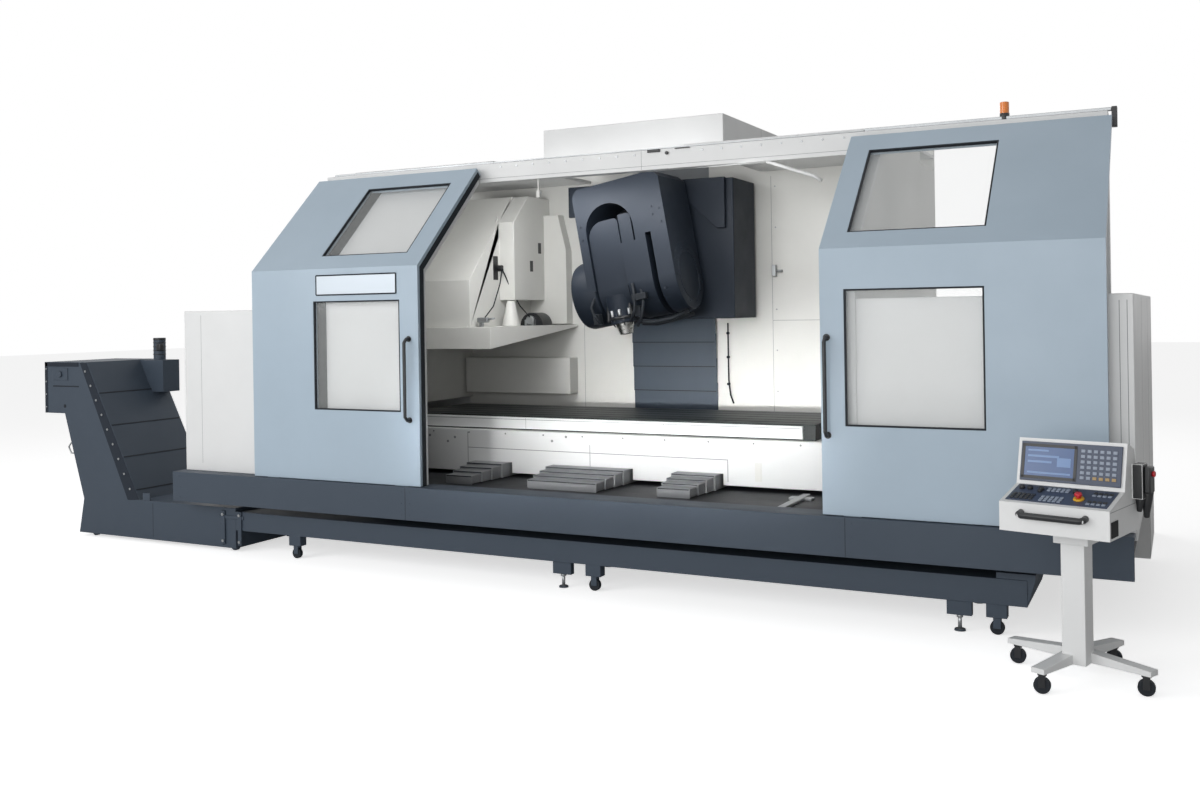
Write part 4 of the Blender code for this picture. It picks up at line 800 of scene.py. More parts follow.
@dataclass
class Doors:
    """The two sliding doors with their panes, gaskets, handles and seals."""

    bevel: float = 0.006
    face_y: float = -2.200
    fold_z: float = 2.528
    rise: float = 0.878
    setback: float = 0.905
    foot_z: float = 0.734
    gasket: float = 0.012
    gasket_depth: tuple[float, float] = (0.002, 0.022)
    upper_gasket_depth: tuple[float, float] = (-0.023, -0.003)
    upper_window: tuple[float, float] = (0.129, 0.856)
    pane_depth: float = 0.025
    seal_share: float = 0.985
    handle_foot: tuple[float, float] = (0.024, 0.006)
    rim: tuple[float, float] = (0.012, 0.0010)
    seal_thick: float = 0.005
    seal_depth: tuple[float, float] = (0.030, 0.080)
    window_z: tuple[float, float] = (1.333, 2.253)
    windows: dict[str, tuple[float, float]] = field(
        default_factory=lambda: {"left": (-2.085, -1.180), "right": (2.491, 3.396)}
    )
    edges: dict[str, tuple[float, float]] = field(
        default_factory=lambda: {"left": (-0.995, 1.0), "right": (2.327, -1.0)}
    )
    handles: dict[str, float] = field(default_factory=lambda: {"left": -1.090, "right": 2.372})
    handle_z: tuple[float, float] = (1.270, 1.930)
    plate: tuple[Point, Point] = ((-2.047, -2.2040, 2.305), (-1.210, -2.2002, 2.470))
    # The black sheet of painted shade behind the left door: its x, its depth, its foot and its share up the
    # slope.
    pocket_shade_x: tuple[float, float] = (-2.449, -2.031)
    pocket_shade_depth: tuple[float, float] = (0.112, 0.118)
    pocket_shade_foot: float = 0.75
    pocket_shade_share: float = 0.97

    @property
    def lean(self) -> float:
        """How far the upper part leans back, in radians."""
        return math.atan2(self.setback, self.rise)

    def fold(self, depth: float) -> float:
        """The fold's height at a depth behind the face."""
        return self.fold_z - depth * math.tan(self.lean / 2)

    def slope(self, share: float, depth: float) -> tuple[float, float]:
        """Finds a point of the sloping part.

        Args:
            share: how far up the slope, from 0 to 1.
            depth: how far behind the face.

        Returns:
            Its y and z.
        """
        y = self.face_y + self.setback * share + depth * math.cos(self.lean)
        return y, self.fold_z + self.rise * share - depth * math.sin(self.lean)

    def band(self, x: float, depth: tuple[float, float], bottom: float, share: float) -> list[Point]:
        """Outlines a bent band that follows the door from its foot to its top.

        Args:
            x: where the outline stands.
            depth: its near and far depth behind the face.
            bottom: its lower end.
            share: how far up the slope it goes.

        Returns:
            Its corners.
        """
        near, far = depth
        return [
            (x, self.face_y + near, bottom),
            (x, self.face_y + near, self.fold(near)),
            (x, *self.slope(share, near)),
            (x, *self.slope(share, far)),
            (x, self.face_y + far, self.fold(far)),
            (x, self.face_y + far, bottom),
        ]

    def frame_round(
        self, form: Form, low: tuple[float, float], high: tuple[float, float], depth: tuple[float, float]
    ) -> None:
        """Lays a rubber frame just inside an opening's four edges.

        Args:
            form: the piece that it joins.
            low: the opening's lowest x and z.
            high: its highest x and z.
            depth: where the frame starts and ends in y.
        """
        (x0, z0), (x1, z1), (near, far), wide = low, high, depth, self.gasket
        for a, b in (
            ((x0, near, z0), (x0 + wide, far, z1)),
            ((x1 - wide, near, z0), (x1, far, z1)),
            ((x0 + wide, near, z0), (x1 - wide, far, z0 + wide)),
            ((x0 + wide, near, z1 - wide), (x1 - wide, far, z1)),
        ):
            form.box(a, b, 0.0015)

    def build(self) -> None:
        """Dresses both doors, and lays painted shade: a black sheet in the dark pocket that shows through the
        left one.
        """
        for side in ("left", "right"):
            body = side + "_door"
            rounded(body, BLUE, body, self.bevel)
            for pane in ("_door_glass", "_upper_glass"):
                dress(side + pane, GLASS)
            rounded(side + "_door_handle", PLASTIC, body, 0.0)
            self.trim(side, body)
        low, high = self.plate
        Form("name_plate").box(low, high, 0.0008).place(PLATE, "left_door")
        rim = Form("name_plate_rim")
        left, front, bottom = low
        right, _, top = high
        for start, end in (
            ((left, front, bottom), (right, front, bottom)),
            ((left, front, top), (right, front, top)),
            ((left, front, bottom), (left, front, top)),
            ((right, front, bottom), (right, front, top)),
        ):
            rim.strip(start, end, FRONT, *self.rim)
        rim.place(DARK_SEAM, "left_door")
        # Painted shade: a black sheet that follows the door's bend beside the left bay wall, where shade falls.
        near, far = self.pocket_shade_x
        shade_sheet = Form("left_pocket_painted_shade")
        outline = self.band(near, self.pocket_shade_depth, self.pocket_shade_foot, self.pocket_shade_share)
        shade_sheet.slab(outline, (far - near, 0, 0), 0.0)
        shade_sheet.place(SHADE_BLACK)

    def trim(self, side: str, body: str) -> None:
        """Adds a door's rubber seal, its window gaskets and its handle's feet.

        Args:
            side: left or right.
            body: the body that carries the door.
        """
        edge, way = self.edges[side]
        seal = Form(side + "_door_seal")
        outline = self.band(edge, self.seal_depth, self.foot_z, self.seal_share)
        seal.slab(outline, (way * self.seal_thick, 0, 0), 0.0)
        seal.place(RUBBER, body)
        low_x, high_x = self.windows[side]
        gasket = Form(side + "_window_gasket")
        depth = tuple(self.face_y + reach for reach in self.gasket_depth)
        self.frame_round(gasket, (low_x, self.window_z[0]), (high_x, self.window_z[1]), depth)
        gasket.place(RUBBER, body)
        foot, top = self.upper_window
        half = (top - foot) * math.hypot(self.rise, self.setback) / 2
        y, z = self.slope((foot + top) / 2, self.pane_depth)
        local = Matrix.Translation(((low_x + high_x) / 2, y, z)) @ Matrix.Rotation(-self.lean, 4, "X")
        upper = Form(side + "_upper_gasket", local)
        wide = (high_x - low_x) / 2
        self.frame_round(upper, (-wide, -half), (wide, half), self.upper_gasket_depth)
        upper.place(RUBBER, body)
        x = self.handles[side]
        feet = [(x, self.face_y, z) for z in self.handle_z]
        Form(side + "_handle_feet").studs(feet, FRONT, *self.handle_foot, 20).place(PLASTIC, body)


@dataclass
class Enclosure:
    """Housings, cabinets, panels, walls, roof and header."""

    shells: dict[str, float] = field(
        default_factory=lambda: {
            "left_housing": 0.006,
            "right_housing": 0.006,
            "left_rear_cabinet": 0.006,
            "right_rear_cabinet": 0.006,
            "left_front_panel": 0.003,
            "right_front_panel": 0.003,
            "left_roof_panel": 0.003,
            "right_roof_panel": 0.003,
            "roof_box": 0.006,
            "header_beam": 0.004,
        }
    )
    header_y: float = -1.215
    skirt_y: float = -2.236
    rear_y: float = 2.000
    wall_y: float = 0.7306
    # Each box below gives its lowest corner, its highest corner and its rounding.
    rails: tuple = (
        ((2.400, -1.190, 3.452), (4.100, -1.150, 3.475), 0.003),
        ((-2.674, -1.190, 3.452), (-0.893, -1.150, 3.470), 0.003),
        ((-0.893, -1.205, 3.452), (2.400, -1.160, 3.462), 0.002),
    )
    lamp_boxes: tuple = (
        ((-0.470, -1.175, 3.125), (-0.434, -1.140, 3.190), 0.006),
        ((-0.458, -1.168, 3.188), (-0.446, -1.148, 3.290), 0.002),
    )
    bracket: tuple = (
        ((1.86, -1.826, 0.6605), (1.92, -1.120, 0.686), 0.004),
        ((1.80, -1.30, 0.6605), (1.98, -1.22, 0.680), 0.003),
    )
    guide: tuple[Point, ...] = (
        (1.624, -1.17, 3.288), (1.80, -1.17, 3.222), (1.999, -1.17, 3.15), (2.061, -1.17, 3.107)
    )
    header_bolt_runs: tuple = ((-0.80, 0.50, 9), (1.10, 2.25, 8))
    joint_xs: tuple[float, ...] = (-1.125, 2.487)
    plinth_bolt_xs: tuple[float, ...] = (-3.65, -1.165, -1.085, 2.447, 2.527, 4.15)
    # The hose on the back wall: x, its distance from the wall, and z.
    wall_hose: tuple[Point, ...] = (
        (0.565, 0.012, 2.00), (0.565, 0.012, 1.45), (0.585, 0.02, 1.30), (0.62, 0.03, 1.22)
    )
    clip_zs: tuple[float, ...] = (1.667, 1.405, 1.90)
    seam: tuple[float, float] = (0.004, 0.0004)

    def build(self) -> None:
        """Dresses the sheet metal round the work space."""
        for node, bevel in self.shells.items():
            rounded(node, WHITE, bevel=bevel)
        for node in ("back_wall", "left_bay_wall", "right_bay_wall", "wall_box"):
            rounded(node, WHITE_LINER, bevel=0.003)
        rounded("signal_lamp", LENS, bevel=0.004)
        for node in ("front_skirt", "skirt_ledge"):
            rounded(node, DARK, bevel=0.003)
        rounded("floor_pan", PAN, bevel=0.002)
        rounded("bed", BED, bevel=0.004)
        rounded("column", BED, bevel=0.006)
        self.header()
        self.seams()
        self.work_space()
        self.rear()

    def header(self) -> None:
        """The rails, boxes, bolts and small lamp on the header."""
        Form("header_rails").boxes(self.rails).place(ZINC)
        low, high = corners("signal_lamp")
        middle = (low + high) / 2
        foot = Form("signal_lamp_foot")
        foot.bar((middle.x, middle.y, low.z), (middle.x, middle.y, low.z + 0.05), 0.034, bevel=0.003)
        foot.box((4.100, -1.205, 3.340), (4.135, -1.140, 3.478), 0.003)
        foot.place(PLASTIC)
        y = self.header_y
        fittings = Form("header_fittings")
        fittings.box((0.622, y - 0.020, 3.425), (0.730, y + 0.002, 3.449), 0.003)
        fittings.box((0.863, y - 0.014, 3.439), (0.994, y + 0.002, 3.446), 0.002)
        fittings.bar((0.792, y, 3.412), (0.792, y - 0.018, 3.412), 0.014, bevel=0.002)
        fittings.place(PLASTIC)
        bolts = Form("header_bolts")
        for start, end, count in self.header_bolt_runs:
            bolts.studs(row((start, y, 3.415), (end, y, 3.415), count), FRONT, 0.009, 0.005)
        bolts.place(ZINC)
        lines = Form("header_seams")
        lines.strip((-2.70, y, 3.318), (4.05, y, 3.318), FRONT, 0.003, 0.0004)
        lines.strip((0.560, y, 3.29), (0.560, y, 3.445), FRONT, 0.003, 0.0004)
        lines.place(SEAM)
        Form("hose_guide").tube(self.guide, 0.014).place(WHITE)
        Form("work_lamp").boxes(self.lamp_boxes).place(WHITE_LINER)

    def seams(self) -> None:
        """The joints between the sheets of the housings, roof and plinth."""
        white = Form("sheet_seams")
        for x in (4.170, 4.214):
            white.strip((x, -2.100, 0.80), (x, -2.100, 2.15), FRONT, *self.seam)
        for x, normal in ((-3.710, LEFT), (4.250, RIGHT)):
            white.strip((x, -0.70, 0.70), (x, -0.70, 2.17), normal, *self.seam)
            white.strip((x, 0.772, 0.02), (x, 0.772, 2.17), normal, 0.005, 0.0004)
        for x in (-0.915, 0.915):
            normal = LEFT if x < 0 else RIGHT
            white.strip((x, 0.775, 3.585), (x, 0.775, 3.855), normal, *self.seam)
        white.strip((0.0, -0.23, 3.870), (0.0, 1.78, 3.870), UP, *self.seam)
        for x in (-3.05, 3.40):
            white.strip((x, -2.08, 2.190), (x, 1.98, 2.190), UP, *self.seam)
        white.strip((-3.50, -2.100, 0.80), (-3.50, -2.100, 2.15), FRONT, 0.003, 0.0004)
        white.place(SEAM)
        plinth = Form("plinth_joints")
        for x in self.joint_xs:
            plinth.strip((x, self.skirt_y, 0.463), (x, self.skirt_y, 0.726), FRONT, 0.004, 0.0006)
        plinth.place(DARK_SEAM)
        plinth_bolts = Form("plinth_bolts")
        for x in self.plinth_bolt_xs:
            places = row((x, self.skirt_y, 0.50), (x, self.skirt_y, 0.69), 3)
            plinth_bolts.studs(places, FRONT, 0.006, 0.003)
        plinth_bolts.place(DARK)

    def work_space(self) -> None:
        """The hose, clips, seams and bracket inside the work space."""
        y = self.wall_y
        hose = Form("wall_hose")
        hose.tube([(x, y - gap, z) for x, gap, z in self.wall_hose], 0.007)
        hose.studs([(0.565, y, z) for z in self.clip_zs], FRONT, 0.014, 0.028)
        hose.place(RUBBER)
        lines = Form("liner_seams")
        lines.strip((1.02, y, 0.80), (1.02, y, 3.40), FRONT, 0.004, 0.0005)
        lines.strip((1.02, y, 2.02), (2.50, y, 2.02), FRONT, 0.004, 0.0005)
        lines.strip((-1.05, y, 2.02), (-0.52, y, 2.02), FRONT, 0.004, 0.0005)
        lines.strip((-1.02, y, 0.80), (-1.02, y, 3.40), FRONT, 0.004, 0.0005)
        lines.place(SEAM)
        bolts = Form("liner_bolts")
        for x in (1.06, 2.20):
            bolts.studs(row((x, y, 0.95), (x, y, 3.30), 7), FRONT, 0.008, 0.004)
        bolts.place(ZINC)
        switch = Form("head_limit_switch")
        switch.box((1.03, y - 0.05, 2.44), (1.07, y + 0.002, 2.55), 0.004)
        switch.bar((1.05, y - 0.03, 2.49), (1.13, y - 0.03, 2.49), 0.012)
        switch.place(ZINC)
        Form("chip_floor_bracket").boxes(self.bracket).place(ZINC)

    def rear(self) -> None:
        """The doors, handles and louvres of the rear cabinets."""
        y = self.rear_y
        lines, grips, slots = Form("cabinet_seams"), Form("cabinet_handles"), Form("cabinet_louvres")
        for side in ("left", "right"):
            low, high = corners(side + "_rear_cabinet")
            middle = (low.x + high.x) / 2
            for x in (low.x + 0.05, middle, high.x - 0.05):
                lines.strip((x, y, 0.12), (x, y, 2.08), BACK, 0.006, 0.0005)
            for z in (0.12, 2.08):
                lines.strip((low.x + 0.05, y, z), (high.x - 0.05, y, z), BACK, 0.006, 0.0005)
            for x in (middle - 0.07, middle + 0.07):
                grips.box((x - 0.014, y - 0.001, 1.02), (x + 0.014, y + 0.018, 1.20), 0.004)
            for x in ((low.x + middle) / 2, (high.x + middle) / 2):
                for place in row((x, y, 0.30), (x, y, 0.62), 9):
                    start = Vector(place) - Vector((0.16, 0, 0))
                    slots.strip(start, start + Vector((0.32, 0, 0)), BACK, 0.014, 0.004)
        lines.place(SEAM)
        grips.place(PLASTIC)
        slots.place(WHITE)


@dataclass
class Changer:
    """The tool changer's housing and shelf."""

    near_x: float = -1.593
    far_x: float = -1.417
    chute: Point = (-1.40, -0.10, 2.001)
    chute_top: Point = (-1.40, -0.10, 2.25)
    sheet: tuple[Point, ...] = ((-1.62, -0.55, 2.002), (-1.62, 0.03, 2.002), (-1.62, 0.03, 3.12))
    hose_lines: tuple[tuple[Point, ...], ...] = (
        ((-1.545, -0.020, 2.58), (-1.530, -0.090, 2.42), (-1.515, -0.240, 2.20), (-1.505, -0.440, 2.07)),
        ((-1.545, -0.020, 2.57), (-1.480, 0.010, 2.40), (-1.400, 0.070, 2.20), (-1.345, 0.170, 2.085)),
    )

    def build(self) -> None:
        """Dresses the changer and adds the painted shade of its slots, and its knob, chute, gun, hoses and
        gripper.
        """
        rounded("tool_changer", WHITE_LINER, bevel=0.004)
        rounded("tool_shelf", WHITE_LINER, bevel=0.003)
        rounded("gripper_cover", PLASTIC, bevel=0.003)
        slots = Form("changer_slot_shade_and_knob")
        # Painted shade: thin black strips stand for the shade inside the changer's slots.
        for x, y, low, high, wide in (
            (self.near_x, -0.068, 2.462, 2.700, 0.087),
            (self.far_x, 0.510, 2.740, 2.850, 0.060),
            (self.far_x, 0.340, 2.550, 2.660, 0.060),
        ):
            slots.strip((x, y, low), (x, y, high), RIGHT, wide, 0.0012)
        slots.bar((self.near_x, -0.02, 2.58), (self.near_x + 0.05, -0.02, 2.58), 0.030, bevel=0.004)
        slots.place(PLASTIC)
        sheet = Form("changer_closing_sheet")
        sheet.slab(self.sheet, (-0.004, 0, 0), 0.0)
        sheet.place(WHITE_LINER)
        Form("tool_chute").bar(self.chute, self.chute_top, 0.090, 0.040, 28, 0.004).place(WHITE_LINER)
        gun = Form("coolant_gun")
        gun.box((-1.560, -0.475, 2.040), (-1.440, -0.425, 2.090), 0.010)
        gun.bar((-1.450, -0.450, 2.070), (-1.370, -0.450, 2.080), 0.013, 0.008)
        gun.box((-1.540, -0.465, 2.0008), (-1.500, -0.435, 2.045), 0.006)
        gun.place(ZINC)
        hoses = Form("changer_hoses")
        for line in self.hose_lines:
            hoses.tube(line, 0.006)
        hoses.place(RUBBER)
        grip = Form("gripper_fingers")
        for x in (-1.385, -1.305):
            grip.box((x - 0.012, 0.150, 2.0008), (x + 0.012, 0.201, 2.060), 0.004)
        grip.bar((-1.345, 0.201, 2.055), (-1.345, 0.165, 2.055), 0.045, bevel=0.004)
        grip.place(ZINC)


@dataclass
class Feed:
    """The way covers, the saddle and the table."""

    apron_y: float = -1.000
    # Where the screwed holes of the saddle's apron lie, in x and z; grey discs there are painted shade.
    holes: tuple[tuple[float, float], ...] = (
        (-1.474, 0.995), (-1.552, 0.955), (-0.448, 0.996), (-0.307, 1.037), (-1.753, 1.004)
    )

    def build(self) -> None:
        """Dresses the moving floor of the work space."""
        bodies = ("root", "way_stage_2", "way_stage_3", "saddle")
        for stage, body in enumerate(bodies, 1):
            for side in ("left", "centre", "right"):
                name = f"{side}_way_cover_{stage}"
                rounded(name, COVER, body, 0.0015)
                low, high = corners(name)
                lip(name + "_wiper", low, high, high.z - LIP_EDGE).place(RUBBER, body)
        rounded("saddle", WHITE, "saddle", 0.003)
        rounded("table", IRON, "table", 0.002)
        rounded("table_apron", WHITE, "table", 0.002)
        self.apron()

    def apron(self) -> None:
        """The joints, bolts, painted shade of the screwed holes, and rim on the saddle's and table's aprons."""
        y = self.apron_y
        lines = Form("apron_joints")
        for start, end in (
            ((-1.332, y, 0.908), (1.197, y, 0.903)),
            ((1.194, y, 0.903), (1.194, y, 0.724)),
            ((-0.073, y, 0.976), (-0.073, y, 0.759)),
            ((-1.332, y, 1.050), (-1.332, y, 0.724)),
        ):
            lines.strip(start, end, FRONT, 0.006, 0.0006)
        lines.place(SEAM, "saddle")
        holes = Form("apron_bolts_and_hole_shade")
        # Painted shade: grey discs stand for the shade inside the screwed holes; the row after them is bolt
        # heads.
        holes.studs([(x, y, z) for x, z in self.holes], FRONT, 0.012, 0.002, 12)
        holes.studs(row((-2.10, y, 1.045), (2.20, y, 1.045), 12), FRONT, 0.008, 0.003)
        holes.place(SEAM, "saddle")
        cover = Form("apron_cover")
        cover.box((1.427, y - 0.003, 0.739), (1.484, y + 0.001, 0.889), 0.001)
        cover.place(WHITE_LINER, "saddle")
        low, high = corners("table_apron")
        rim = Form("table_apron_joint")
        z = high.z - 0.018
        rim.strip((low.x + 0.02, low.y, z), (high.x - 0.02, low.y, z), FRONT, 0.005, 0.0006)
        for x in (-0.75, 0.60):
            rim.strip((x, low.y, low.z + 0.004), (x, low.y, high.z - 0.004), FRONT, 0.003, 0.0006)
        rim.place(SEAM, "table")


@dataclass
class Head:
    """The carriage, the tilting yoke, the spindle and the slats below."""

    pivot: Point = (0.0, -0.010, 2.850)
    tilt: float = -10.0
    front_y: float = -0.620
    spindle: tuple[float, float] = (-0.110, -0.470)
    # The yoke's screws in x and z, its bearing caps, and the hoses with their radii, those under the right lobe
    # partly painted shade, all in its own frame.
    screws: tuple[tuple[float, float], ...] = (
        (0.47, -0.02), (0.47, 0.10), (0.40, 0.13), (-0.32, 0.10), (-0.32, -0.02)
    )
    fork: tuple[float, float] = (-0.31, -0.50)
    cap_radius: float = 0.215
    cap_screws_radius: float = 0.245
    hose_blocks: tuple = (
        ((0.065, -0.620, -0.80), (0.130, -0.540, -0.70), 0.010),
        ((-0.350, -0.620, -0.80), (-0.285, -0.540, -0.70), 0.010),
    )
    front_hoses: tuple = (
        ((0.10, -0.625, -0.50), (0.11, -0.650, -0.62), (0.09, -0.655, -0.74), (0.03, -0.640, -0.83)),
        ((0.16, -0.600, -0.56), (0.18, -0.640, -0.68), (0.15, -0.650, -0.80), (0.08, -0.620, -0.88)),
        ((-0.31, -0.600, -0.56), (-0.33, -0.650, -0.64), (-0.31, -0.655, -0.72), (-0.27, -0.640, -0.80)),
    )
    # Thick black hoses under the right lobe, where shade falls: partly hoses, partly painted shade.
    under_lobe_hoses_and_shade: tuple = (
        (0.020, ((0.09, -0.600, -0.84), (0.20, -0.540, -0.87), (0.34, -0.460, -0.865), (0.48, -0.380, -0.82))),
        (0.016, ((0.08, -0.520, -0.86), (0.20, -0.460, -0.885), (0.34, -0.380, -0.875), (0.50, -0.300, -0.85))),
    )

    @property
    def local(self) -> Matrix:
        """The yoke's frame, tilted as it stands at rest."""
        return Matrix.Translation(self.pivot) @ Matrix.Rotation(math.radians(self.tilt), 4, "Y")

    def build(self) -> None:
        """Dresses the head."""
        rounded("head_carriage", HEAD, "head", 0.008)
        rounded("head_hood", HEAD, "head", 0.004)
        rounded("head_yoke", HEAD, "yoke", 0.006)
        rounded("spindle_housing", HEAD, "spindle_head", 0.006)
        rounded("spindle_nose", STEEL, "spindle", 0.003)
        for index, body in enumerate(("root", "slat_2", "slat_3", "head"), 1):
            node = f"head_slat_{index}"
            # Painted light: the slats take a paler copy of the head's enamel.
            rounded(node, SLAT_PAINTED_LIGHT, body, 0.0015)
            low, high = corners(node)
            lip(node + "_lip", low, high, low.z + LIP_EDGE).place(DARK_SEAM, body)
        self.yoke_details()
        self.nozzles()
        self.nose()

    def yoke_details(self) -> None:
        """The bolts, a black disc of painted shade at the back of the recess, and the bearing rings of the
        yoke.
        """
        y = self.front_y
        bolts = Form("yoke_bolts", self.local)
        bolts.studs([(x, y, z) for x, z in self.screws], FRONT, 0.011, 0.006)
        for z in (0.06, -0.60):
            bolts.studs([(0.40, y, z)], FRONT, 0.011, 0.006)
        bolts.place(HEAD, "yoke")
        # Painted shade: a black disc at the back of the arched recess, where shade falls.
        shade_sheet = Form("yoke_recess_painted_shade", self.local)
        shade_sheet.bar((-0.035, -0.116, 0.020), (-0.035, -0.108, 0.020), 0.228, sides=48)
        shade_sheet.place(SHADE_BLACK, "yoke")
        lobe = Form("yoke_bearing_rings", self.local)
        for x, way in ((-0.540, LEFT), (0.520, RIGHT)):
            depth, height = self.fork
            lobe.ring((x, depth, height), way, self.cap_radius, 0.005, 40)
            reach = self.cap_screws_radius
            places = [
                (x, depth + reach * math.cos(turn), height + reach * math.sin(turn))
                for turn in (math.tau * index / 10 for index in range(10))
            ]
            lobe.studs(places, way, 0.010, 0.005)
        lobe.place(HEAD, "yoke")

    def nozzles(self) -> None:
        """The coolant nozzles and hoses beside the spindle; the hoses under the right lobe are partly hoses and
        partly painted shade.
        """
        hoses = Form("coolant_hoses", self.local)
        for line in self.front_hoses:
            hoses.tube(line, 0.013)
        hoses.box((0.08, -0.655, -0.66), (0.22, -0.600, -0.60), 0.006)
        for radius, line in self.under_lobe_hoses_and_shade:
            hoses.tube(line, radius)
        hoses.boxes(self.hose_blocks)
        hoses.place(RUBBER, "yoke")
        x, y = self.spindle
        ring = Form("nozzle_ring", self.local)
        ring.ring((x, y, -0.775), UP, 0.118, 0.016, 40)
        for index in range(8):
            turn = math.tau * (index + 0.5) / 8
            out = Vector((math.cos(turn), math.sin(turn), 0))
            start = Vector((x, y, -0.785)) + out * 0.120
            ring.bar(start, start - out * 0.030 - Vector((0, 0, 0.060)), 0.012, 0.005, 12)
        for way in (-1, 1):
            start, end = (x + way * 0.10, y - 0.06, -0.66), (x + way * 0.125, y - 0.07, -0.79)
            ring.bar(start, end, 0.026, 0.018, 16, 0.003)
        ring.place(PLASTIC, "spindle_head")
        fittings = Form("nozzle_fittings", self.local)
        fittings.ring((x, y, -0.805), UP, 0.096, 0.012, 40)
        for degrees in (-150, -115, -80, -40):
            turn = math.radians(degrees)
            out = Vector((math.cos(turn), math.sin(turn), 0))
            start = Vector((x, y, -0.70)) + out * 0.128
            fittings.bar(start, start + Vector((0, 0, -0.055)), 0.016, bevel=0.002)
        fittings.place(ZINC, "spindle_head")

    def nose(self) -> None:
        """The bright rings of the spindle's nose, and a black disc of painted shade in its bore."""
        x, y = self.spindle
        rings = Form("nose_rings", self.local)
        rings.ring((x, y, -0.845), UP, 0.078, 0.006, 40)
        rings.ring((x, y, -0.880), UP, 0.069, 0.004, 40)
        rings.place(STEEL, "spindle")
        # Painted shade: a black disc that stands for the shade inside the bore.
        bore_shade = Form("nose_bore_painted_shade", self.local)
        bore_shade.bar((x, y, -0.9200), (x, y, -0.9212), 0.036, sides=32)
        bore_shade.place(SHADE_BLACK, "spindle")


